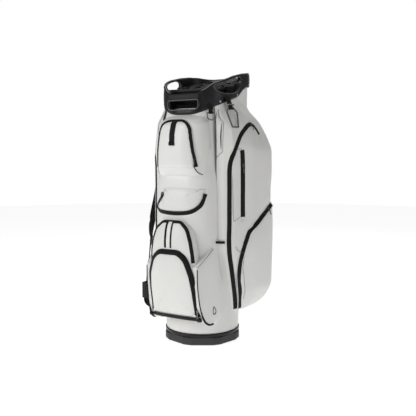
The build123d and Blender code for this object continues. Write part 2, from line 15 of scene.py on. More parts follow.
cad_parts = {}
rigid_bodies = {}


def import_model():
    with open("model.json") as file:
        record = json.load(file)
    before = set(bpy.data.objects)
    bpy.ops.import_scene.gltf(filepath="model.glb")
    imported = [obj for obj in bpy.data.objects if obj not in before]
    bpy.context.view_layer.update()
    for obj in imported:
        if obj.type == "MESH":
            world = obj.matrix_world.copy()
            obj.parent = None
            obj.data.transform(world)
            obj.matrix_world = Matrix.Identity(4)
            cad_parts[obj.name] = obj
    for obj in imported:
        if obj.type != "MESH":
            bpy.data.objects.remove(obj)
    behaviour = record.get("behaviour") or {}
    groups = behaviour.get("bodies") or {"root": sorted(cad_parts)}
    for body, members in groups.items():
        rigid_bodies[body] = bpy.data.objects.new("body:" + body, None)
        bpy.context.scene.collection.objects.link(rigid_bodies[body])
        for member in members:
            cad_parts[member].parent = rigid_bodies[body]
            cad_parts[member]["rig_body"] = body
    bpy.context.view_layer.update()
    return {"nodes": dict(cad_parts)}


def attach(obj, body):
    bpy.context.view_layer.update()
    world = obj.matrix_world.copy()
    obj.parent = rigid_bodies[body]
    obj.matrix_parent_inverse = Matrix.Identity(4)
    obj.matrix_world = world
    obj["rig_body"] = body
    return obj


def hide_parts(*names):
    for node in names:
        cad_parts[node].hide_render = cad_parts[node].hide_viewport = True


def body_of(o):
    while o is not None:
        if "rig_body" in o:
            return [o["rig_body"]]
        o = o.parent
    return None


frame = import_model()
MM = 0.001
SIDES = {1: "right", -1: "left"}


# ---------------------------------------------------------------- materials
def add_node(tree, kind, inputs=(), **settings):
    node = tree.nodes.new(kind)
    for key, value in settings.items():
        setattr(node, key, value)
    for key, value in dict(inputs).items():
        node.inputs[key].default_value = value
    return node


def new_material(name, metallic=0.0, sheen=0.0, coat=0.0, specular=0.5):
    """A Principled material, with its node tree and its shader."""
    material = bpy.data.materials.new(name)
    material.use_nodes = True
    tree = material.node_tree
    shader = tree.nodes["Principled BSDF"]
    for socket, value in (
        ("Metallic", metallic), ("Specular IOR Level", specular), ("Sheen Weight", sheen),
        ("Sheen Roughness", 0.45), ("Coat Weight", coat), ("Coat Roughness", 0.25),
    ):
        shader.inputs[socket].default_value = value
    return material, tree, shader


def mapped(tree, use_uv=False):
    coordinates = tree.nodes.new("ShaderNodeTexCoord")
    mapping = tree.nodes.new("ShaderNodeMapping")
    tree.links.new(coordinates.outputs["UV" if use_uv else "Object"], mapping.inputs["Vector"])
    return mapping.outputs["Vector"]


def noise(tree, vector, scale, detail=3.0, rough=0.55):
    node = add_node(tree, "ShaderNodeTexNoise", {"Scale": scale, "Detail": detail, "Roughness": rough})
    tree.links.new(vector, node.inputs["Vector"])
    return node.outputs["Fac"]


def remap(tree, value, low, high, out_low, out_high):
    node = add_node(
        tree, "ShaderNodeMapRange",
        {"From Min": low, "From Max": high, "To Min": out_low, "To Max": out_high},
    )
    tree.links.new(value, node.inputs["Value"])
    return node.outputs["Result"]


def two_colours(tree, factor, first, second):
    node = add_node(tree, "ShaderNodeMix", data_type="RGBA")
    node.inputs["A"].default_value = (*first, 1)
    node.inputs["B"].default_value = (*second, 1)
    tree.links.new(factor, node.inputs["Factor"])
    return node.outputs["Result"]


def math_node(tree, operation, a, b):
    node = add_node(tree, "ShaderNodeMath", operation=operation)
    for socket, value in zip(node.inputs, (a, b)):
        if isinstance(value, (int, float)):
            socket.default_value = value
        else:
            tree.links.new(value, socket)
    return node.outputs[0]


def weighted(tree, a, share_a, b, share_b):
    """The sum of two values, each times its share."""
    first = math_node(tree, "MULTIPLY", a, share_a)
    return math_node(tree, "ADD", first, math_node(tree, "MULTIPLY", b, share_b))


def bump(tree, shader, height, distance, strength=1.0, below=None):
    node = add_node(tree, "ShaderNodeBump", {"Strength": strength, "Distance": distance})
    tree.links.new(height, node.inputs["Height"])
    if below is not None:
        tree.links.new(below, node.inputs["Normal"])
    tree.links.new(node.outputs["Normal"], shader.inputs["Normal"])
    return node.outputs["Normal"]


def paint(tree, shader, tone, dark, light, grit, roughness):
    """Colours a shader between dark and light by tone, and sets its roughness by grit."""
    tree.links.new(two_colours(tree, tone, dark, light), shader.inputs["Base Color"])
    tree.links.new(remap(tree, grit, 0.3, 0.7, *roughness), shader.inputs["Roughness"])


def leather(name, light, dark, roughness=(0.36, 0.5), grain=1100.0):
    """Pebbled synthetic leather: small cells with creases between them, faint cloudy tone."""
    material, tree, shader = new_material(name, sheen=0.06, coat=0.05, specular=0.45)
    at = mapped(tree)
    cells = add_node(
        tree, "ShaderNodeTexVoronoi", {"Scale": grain, "Smoothness": 0.6}, feature="SMOOTH_F1"
    )
    tree.links.new(at, cells.inputs["Vector"])
    fine = noise(tree, at, grain * 1.9, 2)
    cloud = noise(tree, at, 9.0, 4)
    pebbles = weighted(tree, cells.outputs["Distance"], -1.0, fine, 0.35)
    broad = bump(tree, shader, cloud, 0.0016, 0.5)
    bump(tree, shader, pebbles, 0.00016, 0.75, broad)
    tone = remap(tree, weighted(tree, cloud, 0.75, fine, 0.25), 0.3, 0.7, 0, 1)
    paint(tree, shader, tone, dark, light, fine, roughness)
    return material


def plastic(
    name, light, dark, roughness=(0.3, 0.42), grain=1500.0, depth=0.00008, coat=0.0, specular=0.5
):
    """Moulded plastic with a fine spark-eroded texture and slight handling marks."""
    material, tree, shader = new_material(name, coat=coat, specular=specular)
    at = mapped(tree)
    fine = noise(tree, at, grain, 2, 0.7)
    smear = noise(tree, at, 22.0, 5, 0.65)
    bump(tree, shader, fine, depth, 0.8)
    paint(tree, shader, remap(tree, smear, 0.35, 0.7, 0, 1), dark, light, smear, roughness)
    return material


def woven(
    name, light, dark, pitch=0.9, ribs=0.5, roughness=(0.55, 0.75), depth=0.00035, use_uv=True
):
    """Woven tape or webbing. Its UVs are metres along and across the strip; pitch and ribs are mm."""
    material, tree, shader = new_material(name, sheen=0.04, specular=0.18)
    at = mapped(tree, use_uv)
    waves = []
    for direction, size in (("X", pitch), ("Y", ribs)):
        wave = add_node(
            tree, "ShaderNodeTexWave",
            {"Scale": 1000.0 / size / 3.2, "Distortion": 0.3, "Detail": 1.0},
            wave_type="BANDS", bands_direction=direction,
        )
        tree.links.new(at, wave.inputs["Vector"])
        waves.append(wave.outputs["Fac"])
    thread = math_node(tree, "MULTIPLY", *waves)
    fluff = noise(tree, at, 700.0, 3)
    wide = noise(tree, at, 30.0, 3)
    height = math_node(tree, "ADD", thread, math_node(tree, "MULTIPLY", fluff, 0.4))
    bump(tree, shader, height, depth, 0.9)
    tone = weighted(tree, thread, 0.6, wide, 0.4)
    paint(tree, shader, tone, dark, light, fluff, roughness)
    return material


def metal(name, colour, roughness=(0.18, 0.34)):
    material, tree, shader = new_material(name, metallic=1.0)
    marks = noise(tree, mapped(tree), 240.0, 4, 0.6)
    bump(tree, shader, marks, 0.00004, 0.5)
    paint(tree, shader, marks, tuple(c * 0.8 for c in colour), colour, marks, roughness)
    return material


WHITE = leather("white_leather", (0.80, 0.797, 0.775), (0.765, 0.762, 0.738))
WELT = leather("white_welt", (0.83, 0.827, 0.80), (0.79, 0.787, 0.76), grain=1500.0)
# painted shade: near-black leather for the dark cords laid in seams and creases, standing in for the
# shade there
SEAM_SHADE = leather("seam_shade", (0.13, 0.128, 0.122), (0.09, 0.088, 0.084), (0.6, 0.8))
COLLAR = plastic(
    "collar_plastic", (0.0125, 0.0125, 0.0135), (0.008, 0.008, 0.0088), coat=0.05, specular=0.36
)
GLOSS = plastic(
    "base_ring_plastic", (0.007, 0.007, 0.0075), (0.004, 0.004, 0.0045), (0.22, 0.34),
    coat=0.1, specular=0.3,
)
FOOT = plastic(
    "foot_plastic", (0.034, 0.034, 0.036), (0.023, 0.023, 0.025), (0.5, 0.66), 900.0, 0.0002
)
RUBBER = plastic(
    "grip_rubber", (0.016, 0.016, 0.017), (0.009, 0.009, 0.0095), (0.5, 0.66), 900.0, 0.0002,
    specular=0.3,
)
PALE_PLASTIC = plastic("nylon_washer", (0.72, 0.71, 0.67), (0.66, 0.65, 0.61), (0.4, 0.5))
ROD = plastic("glass_fibre_rod", (0.075, 0.075, 0.08), (0.05, 0.05, 0.055), (0.4, 0.55))
CAP = plastic(
    "divider_cap", (0.02, 0.02, 0.022), (0.012, 0.012, 0.0135), (0.45, 0.6), specular=0.25
)
# painted highlight: dark grey plastic, lighter than the collar, for the beads round the openings,
# standing in for their highlight
LIP_HIGHLIGHT = plastic("collar_lip_highlight", (0.045, 0.045, 0.048), (0.03, 0.03, 0.032), (0.28, 0.4), coat=0.15)
# painted highlight: light grey plastic for the bead along the black rim, standing in for the rim's
# highlight
EDGE_HIGHLIGHT = plastic("collar_edge_highlight", (0.3, 0.3, 0.31), (0.2, 0.2, 0.21), (0.22, 0.34), coat=0.3)
TAPE = woven(
    "zip_tape", (0.0095, 0.0095, 0.01), (0.0035, 0.0035, 0.0038), 1.3, 0.7, (0.42, 0.6), 0.00022
)
WEBBING = woven(
    "webbing", (0.014, 0.014, 0.015), (0.004, 0.004, 0.0045), 2.2, 1.3, depth=0.0005
)
EDGE_TAPE = woven("edge_binding", (0.008, 0.008, 0.0085), (0.003, 0.003, 0.0034), 1.2, 0.8)
LINING = woven(
    "lining", (0.012, 0.012, 0.0135), (0.005, 0.005, 0.0055), 1.1, 1.1, (0.7, 0.9), 0.0003, False
)
FELT = woven(
    "felt", (0.06, 0.06, 0.06), (0.03, 0.03, 0.03), 2.5, 2.5, (0.85, 0.95), 0.0006, False
)
MESH_PAD = woven(
    "pad_mesh", (0.014, 0.014, 0.015), (0.004, 0.004, 0.0045), 2.6, 2.6, (0.6, 0.8), 0.0007
)
THREAD = woven("thread_white", (0.86, 0.855, 0.83), (0.7, 0.695, 0.67), 0.5, use_uv=False)
THREAD_DARK = woven("thread_dark", (0.06, 0.06, 0.065), (0.02, 0.02, 0.022), 0.5, use_uv=False)
GUNMETAL = metal("gunmetal", (0.2, 0.2, 0.21))
BRIGHT = metal("bright_steel", (0.86, 0.86, 0.88), (0.1, 0.2))
STEEL = metal("zinc_steel", (0.6, 0.61, 0.63), (0.3, 0.45))


# ---------------------------------------------------------------- mesh helpers
def to_m(points):
    return np.asarray(points, float) * MM


def piece(
    name, verts, faces, materials, body="bag", face_slots=None, uvs=None, smooth=True,
    cad=(),
):
    """Makes an object from points in mm, gives it its finish and body, and hides the CAD nodes it
    stands for.
    """
    mesh = bpy.data.meshes.new(name)
    mesh.from_pydata([tuple(v) for v in to_m(verts)], [], [tuple(map(int, f)) for f in faces])
    for material in materials if isinstance(materials, list) else [materials]:
        mesh.materials.append(material)
    if face_slots is not None:
        mesh.polygons.foreach_set("material_index", np.asarray(face_slots, np.int32))
    if uvs is not None:
        layer = mesh.uv_layers.new(name="strip")
        loops = np.zeros(len(mesh.loops), np.int32)
        mesh.loops.foreach_get("vertex_index", loops)
        layer.data.foreach_set("uv", np.asarray(uvs, np.float32)[loops].ravel())
    mesh.polygons.foreach_set("use_smooth", [smooth] * len(mesh.polygons))
    mesh.update()
    made = linked(name, mesh)
    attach(made, body)
    if cad:
        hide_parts(*cad)
    return made


def linked(name, data):
    """A new object in the scene."""
    made = bpy.data.objects.new(name, data)
    bpy.context.scene.collection.objects.link(made)
    return made


def modifier(made, kind, **settings):
    added = made.modifiers.new(kind.lower(), kind)
    for key, value in settings.items():
        setattr(added, key, value)
    return added


def apply_modifiers(made):
    graph = bpy.context.evaluated_depsgraph_get()
    mesh = bpy.data.meshes.new_from_object(made.evaluated_get(graph))
    made.modifiers.clear()
    made.data = mesh
    mesh.polygons.foreach_set("use_smooth", [True] * len(mesh.polygons))


def grid_faces(rows, columns, closed=False, first=0):
    """Quads between rows of points; closed joins each row's last point to its first."""
    faces = []
    for r in range(rows - 1):
        for c in range(columns if closed else columns - 1):
            d = (c + 1) % columns
            faces.append((first + r * columns + c, first + r * columns + d,
                          first + (r + 1) * columns + d, first + (r + 1) * columns + c))
    return faces


def end_faces(rows, columns, first=0):
    """The two faces that close the ends of a tube of rows."""
    last = first + (rows - 1) * columns
    return [tuple(range(first, first + columns))[::-1], tuple(range(last, last + columns))]


def loop_faces(rows, columns):
    """Quads that join the last row of points to the first."""
    last = (rows - 1) * columns
    return [(last + c, last + (c + 1) % columns, (c + 1) % columns, c) for c in range(columns)]


def oval(half_width, half_height, count):
    """A closed section: points round an ellipse."""
    angles = np.linspace(0, 2 * math.pi, count + 1)[:-1]
    return np.array([(half_width * math.cos(a), half_height * math.sin(a)) for a in angles])


def unit(vectors):
    vectors = np.asarray(vectors, float)
    return vectors / np.maximum(np.linalg.norm(vectors, axis=-1, keepdims=True), 1e-12)


def run_length(points):
    """How far each point of a polyline is along it."""
    return np.concatenate([[0], np.cumsum(np.linalg.norm(np.diff(points, axis=0), axis=1))])


def resample(points, spacing):
    """Points evenly along a polyline, about spacing apart."""
    points = np.asarray(points, float)
    at = run_length(points)
    new = np.linspace(0, at[-1], max(int(round(at[-1] / spacing)), 2) + 1)
    return np.stack([np.interp(new, at, points[:, k]) for k in range(points.shape[1])], 1)


def curve_through(points, spacing, closed=False):
    """A smooth line through points, resampled evenly."""
    p = np.asarray(points, float)
    if closed:
        p = np.vstack([p[-1:], p, p[:2]])
    else:
        p = np.vstack([2 * p[0] - p[1], p, 2 * p[-1] - p[-2]])
    out = []
    for a, b, c, d in zip(p[:-3], p[1:-2], p[2:-1], p[3:]):
        steps = max(int(np.linalg.norm(c - b) / 1.5), 2)
        t = np.linspace(0, 1, steps, endpoint=False)[:, None]
        out.append(0.5 * (2 * b + (c - a) * t + (2 * a - 5 * b + 4 * c - d) * t**2
                          + (3 * b - a - 3 * c + d) * t**3))
    line = np.vstack(out + [p[-2:-1]])
    return resample(line, spacing)


def blur(values, sigma):
    """Softens the kinks of evenly spaced values; the ends keep their slope."""
    reach = int(3 * sigma) + 1
    kernel = np.exp(-0.5 * (np.arange(-reach, reach + 1) / sigma) ** 2)
    kernel /= kernel.sum()
    head = 2 * values[0] - values[1:reach + 1][::-1]
    tail = 2 * values[-1] - values[-reach - 1:-1][::-1]
    return np.convolve(np.concatenate([head, values, tail]), kernel, "valid")


class Profile:
    """A line given by points (a, b...) read at any a, with its kinks softened by a blur of sigma."""

    MARGIN = 120.0  # how far it goes on, straight, past its first and last point

    def __init__(self, points, sigma):
        table = np.asarray(points, float)
        low, high = table[0, 0], table[-1, 0]
        self.at = np.arange(low - self.MARGIN, high + self.MARGIN + 1, 1.0)
        self.columns = []
        for k in range(1, table.shape[1]):
            column = np.interp(self.at, table[:, 0], table[:, k])
            for end, a, b in ((self.at < low, 0, 1), (self.at > high, -1, -2)):
                slope = (table[b, k] - table[a, k]) / (table[b, 0] - table[a, 0])
                column[end] = table[a, k] + slope * (self.at[end] - table[a, 0])
            self.columns.append(blur(column, sigma))

    def __call__(self, a):
        read = [np.interp(a, self.at, column) for column in self.columns]
        return read[0] if len(read) == 1 else np.stack(read, -1)


def rounded_ring(x_half, front, back, radius, side_n, arc_n):
    """A rounded rectangle's outline from its front right corner round by +X, as x and y."""
    radius = min(radius, x_half - 0.5, (back - front) / 2 - 0.5)
    cx, f, b = x_half - radius, front + radius, back - radius
    arcs = []
    for x, y, start in ((cx, f, -90), (cx, b, 0), (-cx, b, 90), (-cx, f, 180)):
        angles = np.radians(start + np.linspace(0, 90, arc_n + 1))
        arcs.append(np.stack([x + radius * np.cos(angles), y + radius * np.sin(angles)], 1))
    t = np.linspace(0, 1, side_n + 1)[1:-1, None]
    return np.vstack([
        part for arc, following in zip(arcs, arcs[1:] + arcs[:1])
        for part in (arc, arc[-1] * (1 - t) + following[0] * t)
    ])


def rounded_corner(before, at, after, radius, share, steps):
    """Points round a corner, which takes up at most a share of each run beside it."""
    to_before, to_after = unit(before - at), unit(after - at)
    angle = math.acos(np.clip(to_before @ to_after, -1, 1))
    cut_back = min(radius / math.tan(angle / 2), share * np.linalg.norm(before - at),
                   share * np.linalg.norm(after - at))
    s = np.linspace(0, 1, steps + 1)[:, None]
    return ((1 - s) ** 2 * (at + to_before * cut_back) + 2 * s * (1 - s) * at
            + s**2 * (at + to_after * cut_back))


def filleted_chain(points, radii, edges, arcs, share=0.48):
    """An open chain of runs with rounded corners; edges and arcs are the point counts of each."""
    p = np.asarray(points, float)
    out, here = [p[:1]], p[0]
    for i in range(1, len(p)):
        bend = p[i:] if i == len(p) - 1 else rounded_corner(
            p[i - 1], p[i], p[i + 1], radii[i - 1], share, arcs[i - 1])
        t = np.linspace(0, 1, edges[i - 1] + 1)[1:, None]
        out += [here * (1 - t) + bend[0] * t, bend[1:]]
        here = bend[-1]
    return np.vstack(out)


def distance_to(points, line):
    """Each point's distance to a densely sampled line."""
    points, line = np.asarray(points, float), np.asarray(line, float)
    best = np.full(len(points), 1e9)
    for start in range(0, len(line), 64):
        chunk = line[start:start + 64]
        d = np.linalg.norm(points[:, None, :] - chunk[None], axis=2).min(1)
        best = np.minimum(best, d)
    return best


def inside(points, outline):
    """Which 2D points are inside a closed outline."""
    x, y = np.asarray(points, float).T
    outline = np.asarray(outline, float)
    found = np.zeros(len(x), bool)
    for (x0, y0), (x1, y1) in zip(outline, np.roll(outline, -1, 0)):
        crosses = (y0 > y) != (y1 > y)
        if y1 != y0:
            found ^= crosses & (x < (x1 - x0) * (y - y0) / (y1 - y0) + x0)
    return found


def ramp(value, low, high):
    t = np.clip((np.asarray(value, float) - low) / (high - low), 0, 1)
    return t * t * (3 - 2 * t)


def wobble(points, size, seed=0.0):
    """Slow, repeatable unevenness between -1 and 1, for cloth that isn't perfectly flat."""
    x, y, z = (np.asarray(points, float) / size).T
    return (np.sin(x * 2.1 + 1.3 * np.sin(z * 1.7 + seed) + seed)
            + np.sin(z * 2.6 + 1.1 * np.sin(y * 1.9 + 2 * seed) + 2.0 * seed)
            + np.sin(y * 2.3 + z * 0.9 + 3 * seed)) / 3


def normals_of(verts, faces):
    """Outward or inward direction at each point, whichever way the faces wind."""
    verts = np.asarray(verts, float)
    quads = np.array([f if len(f) == 4 else (*f, f[-1]) for f in faces])
    a, b, c, d = (verts[quads[:, k]] for k in range(4))
    n = np.cross(c - a, d - b)
    total = np.zeros_like(verts)
    for k in range(4):
        np.add.at(total, quads[:, k], n)
    return unit(total)


class Surface:
    """A finished mesh that strips, stitches and rings are laid on."""

    REACH = 120.0  # mm

    def __init__(self, made):
        graph = bpy.context.evaluated_depsgraph_get()
        mesh = bpy.data.meshes.new_from_object(made.evaluated_get(graph))
        verts = [tuple(v.co / MM) for v in mesh.vertices]
        self.tree = BVHTree.FromPolygons(verts, [tuple(p.vertices) for p in mesh.polygons])
        bpy.data.meshes.remove(mesh)

    def drop(self, points, towards):
        """Where lines through points, running towards, first meet it, and outward directions."""
        way = Vector(towards).normalized()
        found, out = [], []
        for p in np.asarray(points, float):
            hit = self.tree.ray_cast(Vector(p) - way * self.REACH, way, 2.5 * self.REACH)
            if hit[0] is None:
                hit = self.tree.find_nearest(Vector(p))
            found.append(tuple(hit[0]))
            n = Vector(hit[1])
            out.append(tuple(n if n.dot(way) < 0 else -n))
        return np.array(found), unit(out)

    def nearest(self, points):
        found, out = [], []
        for p in np.asarray(points, float):
            hit = self.tree.find_nearest(Vector(p))
            found.append(tuple(hit[0]))
            out.append(tuple(hit[1]))
        return np.array(found), unit(out)


def soften(vectors, passes):
    vectors = np.asarray(vectors, float)
    for _ in range(passes):
        padded = np.vstack([vectors[:1], vectors, vectors[-1:]])
        vectors = (padded[:-2] + 2 * padded[1:-1] + padded[2:]) / 4
    return vectors


def strip_mesh(path, out, section, closed_path=False):
    """Carries a section (across, up) along a path with given outward directions; UVs in metres."""
    path, out = np.asarray(path, float), np.asarray(out, float)
    if closed_path:
        tangent = unit(np.roll(path, -1, 0) - np.roll(path, 1, 0))
    else:
        tangent = unit(np.gradient(path, axis=0))
    out = unit(out - (out * tangent).sum(1, keepdims=True) * tangent)
    side = np.cross(tangent, out)
    section = np.asarray(section, float)
    verts = path[:, None] + side[:, None] * section[None, :, :1] + out[:, None] * section[None, :, 1:]
    n, m = len(path), len(section)
    faces = grid_faces(n, m, closed=True) + (loop_faces if closed_path else end_faces)(n, m)
    run, round_it = run_length(path) * MM, run_length(section) * MM
    uvs = np.stack(np.broadcast_arrays(run[:, None], round_it[None, :]), -1).reshape(-1, 2)
    return verts.reshape(-1, 3), faces, uvs


def swept(name, path, out, section, material, cad=(), closed_path=False):
    verts, faces, uvs = strip_mesh(path, out, section, closed_path)
    return piece(name, verts, faces, material, uvs=uvs, cad=cad)


def scaled_about(path, verts, scale):
    """A strip's points with each section made scale times as large about the path."""
    path = path[:, None]
    return (path + (verts.reshape(len(path), -1, 3) - path) * scale[:, None, None]).reshape(-1, 3)


def flat_section(width, thickness, crown, low):
    """A strap's section: flat below, slightly crowned above, with rounded edges."""
    half = width / 2
    r = min(thickness / 2, 1.2)
    across = np.linspace(-half + r, half - r, 9)
    top = [(x, low + thickness + crown * (1 - (x / half) ** 2)) for x in across]
    right = [(half - r + r * math.cos(a), low + thickness - r + r * math.sin(a)) for a in (0.9, 0.3)]
    left = [(-x, y) for x, y in right[::-1]]
    bottom = [(half - 0.3, low + 0.3), (half - r, low), (-half + r, low), (-half + 0.3, low + 0.3)]
    return np.array(top + right + bottom + left)


def strap(name, path, out, width, thickness, material, crown=0.0, cad=(), low=0.0):
    swept(name, path, out, flat_section(width, thickness, crown, low), material, cad)


def joined(parts):
    """Several (verts, faces, uvs, slot index) as one mesh."""
    verts, faces, uvs, slots, first = [], [], [], [], 0
    for v, f, u, s in parts:
        verts.append(v)
        uvs.append(u)
        faces += [tuple(first + i for i in face) for face in f]
        slots += [s] * len(f)
        first += len(v)
    return np.vstack(verts), faces, np.vstack(uvs), slots


def offset_path(path, out, across, up):
    tangent = unit(np.gradient(path, axis=0))
    side = np.cross(tangent, unit(out - (out * tangent).sum(1, keepdims=True) * tangent))
    return path + side * across + out * up


def zip_strip(name, path, out, width, cad=(), welts=True, lift=0.5):
    """A covered-coil zip: two tape halves meeting at a groove, and white folded edges."""
    half = width / 2
    left = [(-half - 1.0, -1.2), (-half - 0.6, lift), (-half + 0.4, lift + 0.35),
            (-2.6, lift + 0.6), (-1.4, lift + 1.0), (-0.5, lift + 0.85)]
    right = [(-x, y) for x, y in left[::-1]]
    parts = [(*strip_mesh(path, out, np.array(left + [(0, lift + 0.1)] + right)[::-1]), 0)]
    if welts:
        for side in (-1, 1):
            line = offset_path(path, out, side * (half + 1.2), 0.35)
            parts.append((*strip_mesh(line, out, oval(1.5, 1.25, 8)), 1))
    verts, faces, uvs, slots = joined(parts)
    return piece(name, verts, faces, [TAPE, WELT], "bag", slots, uvs, cad=cad)


STITCHES = {"white": [], "dark": []}
STITCH_PITCH, STITCH_LENGTH, STITCH_RADIUS = 4, 3, 0.42


def stitch_line(path, out, across=0.0, up=0.25, colour="white"):
    """Lockstitches along a line beside a seam."""
    line = resample(offset_path(path, out, across, up), 1.0)
    at, want = np.linspace(0, 1, len(path)), np.linspace(0, 1, len(line))
    normals = unit(np.stack([np.interp(want, at, out[:, k]) for k in range(3)], 1))
    for i in range(1, len(line) - STITCH_PITCH, STITCH_PITCH):
        j = min(i + STITCH_LENGTH, len(line) - 1)
        STITCHES[colour].append((line[i], line[j], normals[i]))


def make_stitches(name, rows, material):
    """All stitches of one colour as one mesh of short rounded bars, sunk at their ends."""
    verts, faces, ring = [], [], 6
    angles = np.linspace(0, 2 * math.pi, ring, endpoint=False)
    stations = ((0.0, 0.3, -0.35), (0.18, 0.85, 0.0), (0.5, 1.0, 0.12), (0.82, 0.85, 0.0),
                (1.0, 0.3, -0.35))
    count = len(stations)
    for a, b, out in rows:
        side = unit(np.cross(unit(b - a), out))
        faces += grid_faces(count, ring, True, len(verts)) + end_faces(count, ring, len(verts))
        for t, r, h in stations:
            centre = a * (1 - t) + b * t + out * h
            verts += [centre + (side * math.cos(v) + out * math.sin(v)) * STITCH_RADIUS * r
                      for v in angles]
    return piece(name, verts, faces, material)


def seam_shade_cord(name, path, out, width, depth):
    """A thin sewn seam lying almost flush with the surface, coloured near black as painted shade in its
    crease.
    """
    return swept(name, path, out, oval(width / 2, depth, 6), SEAM_SHADE)


def closed_fillet(points, radii, spacing=3.0):
    """A closed outline with rounded corners, evenly spaced."""
    p = np.asarray(points, float)
    return closed_resample(np.vstack([
        rounded_corner(p[i - 1], p[i], p[(i + 1) % len(p)], radii[i], 0.48, 12)
        for i in range(len(p))
    ]), spacing)


def closed_resample(line, spacing):
    return resample(np.vstack([line, line[:1]]), spacing)[:-1]


def inset_outline(outline, amount):
    """A closed counter-clockwise outline moved inwards."""
    tangent = unit(np.roll(outline, -1, 0) - np.roll(outline, 1, 0))
    inward = np.stack([-tangent[:, 1], tangent[:, 0]], 1)
    return outline + inward * amount, inward


def counter_clockwise(outline):
    x, y = outline.T
    area = (x * np.roll(y, -1) - np.roll(x, -1) * y).sum()
    return outline if area > 0 else outline[::-1]


# ---------------------------------------------------------------- the bag's main forms (mm)
# the collar's upper and lower edge: height at y
RIM = Profile([
    (-131, 837), (-119, 841), (-108, 851), (-94, 869), (-65, 882), (-10, 900), (56, 915), (110, 923),
    (150, 924), (181, 916),
], 5)
SKIRT = Profile([
    (-131, 768), (-123, 769), (-108, 783), (-87, 795), (-58, 808), (-25, 819), (32, 836), (62, 858),
    (90, 871), (181, 880),
], 5)
# upright forms: height, half width, front, back, corner radius
TUBE = Profile([
    (41, 126, -126, 126, 125), (120, 125, -124, 126, 112), (260, 121, -104, 142, 85),
    (600, 120, -93, 155, 75), (960, 119, -88, 165, 72),
], 14)
GUSSET = Profile([
    (92, 101, -134, -10, 60), (130, 109, -178, -10, 82), (300, 110, -179, -10, 84),
    (470, 108, -174, -10, 84), (565, 107, -167, -10, 82), (600, 102, -150, -10, 76),
    (745, 97, -130, -10, 70), (800, 92, -106, -10, 60),
], 9)
VALUABLES = Profile([
    (566, 84, -158, -10, 52), (578, 89, -177, -10, 60), (655, 91, -181, -10, 62),
    (700, 91, -179, -10, 62), (740, 88, -172, -10, 58), (754, 85, -152, -10, 56),
    (763, 83, -130, -10, 54), (770, 81, -116, -10, 52),
], 5)
# the right side pocket: height, then the corners of its level outline as (x, y)
CHAIN = [
    (105, (104, -14), (124, -8), (134, 8), (138, 30), (128, 100), (60, 110)),
    (118, (104, -20), (129, -14), (142, 4), (152, 38), (154, 114), (60, 122)),
    (142, (105, -30), (132, -26), (150, -4), (169, 44), (184, 142), (60, 146)),
    (185, (106, -48), (133, -44), (157, -16), (187, 42), (205, 160), (60, 160)),
    (335, (106, -90), (130, -84), (155, -64), (190, 12), (206, 162), (60, 162)),
    (660, (106, -90), (130, -84), (155, -64), (190, 12), (206, 162), (60, 162)),
    (700, (106, -90), (130, -82), (150, -62), (176, 15), (190, 158), (60, 159)),
    (750, (104, -89), (126, -81), (141, -61), (158, 20), (160, 151), (60, 156)),
    (776, (100, -86), (114, -77), (126, -57), (142, 24), (130, 145), (56, 152)),
    (796, (96, -84), (106, -76), (115, -56), (129, 20), (108, 140), (54, 150)),
    (835, (94, -82), (103, -74), (112, -56), (122, 10), (100, 140), (50, 150)),
    (890, (94, -82), (103, -74), (112, -56), (122, 10), (100, 140), (50, 150)),
]
CHAIN_PROFILE = Profile([(row[0], *np.ravel(row[1:])) for row in CHAIN], 9)


def ring_stack(profile, heights, side_n, arc_n):
    rows = []
    for z in heights:
        xy = rounded_ring(*profile(z), side_n, arc_n)
        rows.append(np.column_stack([xy, np.full(len(xy), z)]))
    return np.array(rows)


def inside_tube(points, margin):
    """Which points are further than margin inside the tube's outer skin."""
    points = np.asarray(points, float)
    x, front, back, radius = TUBE(points[:, 2]).T
    x, front, back, radius = x - margin, front + margin, back - margin, radius - margin
    dx = np.maximum(np.abs(points[:, 0]) - (x - radius), 0)
    dy = np.maximum(np.maximum(front + radius - points[:, 1], points[:, 1] - (back - radius)), 0)
    return np.hypot(dx, dy) < radius


def keep_faces(verts, faces, keep):
    """Only the faces that have at least one kept vertex, and the vertices they use."""
    faces = [f for f in faces if any(keep[i] for i in f)]
    used = sorted({i for f in faces for i in f})
    new = {old: i for i, old in enumerate(used)}
    return np.asarray(verts)[used], [tuple(new[i] for i in f) for f in faces]


# ---- tube ----
TUBE_FOOT = 41.0


def make_tube():
    """The tube's leather wall with its black lining, up to under the collar."""
    rows, counts = 190, (26, 26)
    n = len(rounded_ring(*TUBE(TUBE_FOOT), *counts))
    outer = np.zeros((rows, n, 3))
    for r, t in enumerate(np.linspace(0, 1, rows)):
        z = np.full(n, TUBE_FOOT + t * 780)
        for _ in range(3):
            y = rounded_ring(*TUBE(z.mean()), *counts)[:, 1]
            z = TUBE_FOOT + t * (SKIRT(y) + 11.5 - TUBE_FOOT)
        low, high = z.min(), z.max()
        w = ((z - low) / max(high - low, 1e-6))[:, None]
        xy = rounded_ring(*TUBE(low), *counts) * (1 - w) + rounded_ring(*TUBE(high), *counts) * w
        outer[r] = np.column_stack([xy, z])
    inward = unit((np.array([0, 20.0, 0]) - outer) * np.array([1, 1, 0]))
    inner = outer + inward * 2.2
    verts = np.vstack([outer.reshape(-1, 3), inner[::-1].reshape(-1, 3)])
    rolls = np.sin(outer[..., 2] / 37.0) * 0.15
    uneven = wobble(outer.reshape(-1, 3), 60, 1.0) * 0.5 + rolls.reshape(-1)
    verts[:rows * n] += -inward.reshape(-1, 3) * uneven[:, None]
    below = outer[:-1, :, 2] < SKIRT(outer[:-1, :, 1]) - 1.5
    slots = list(np.where(below.ravel(), 0, 1)) + [1] * ((rows + 1) * n)
    faces = grid_faces(2 * rows, n, closed=True) + loop_faces(2 * rows, n)
    piece("tube_skin", verts, faces, [WHITE, LINING], face_slots=slots,
          cad=["tube_shell"])


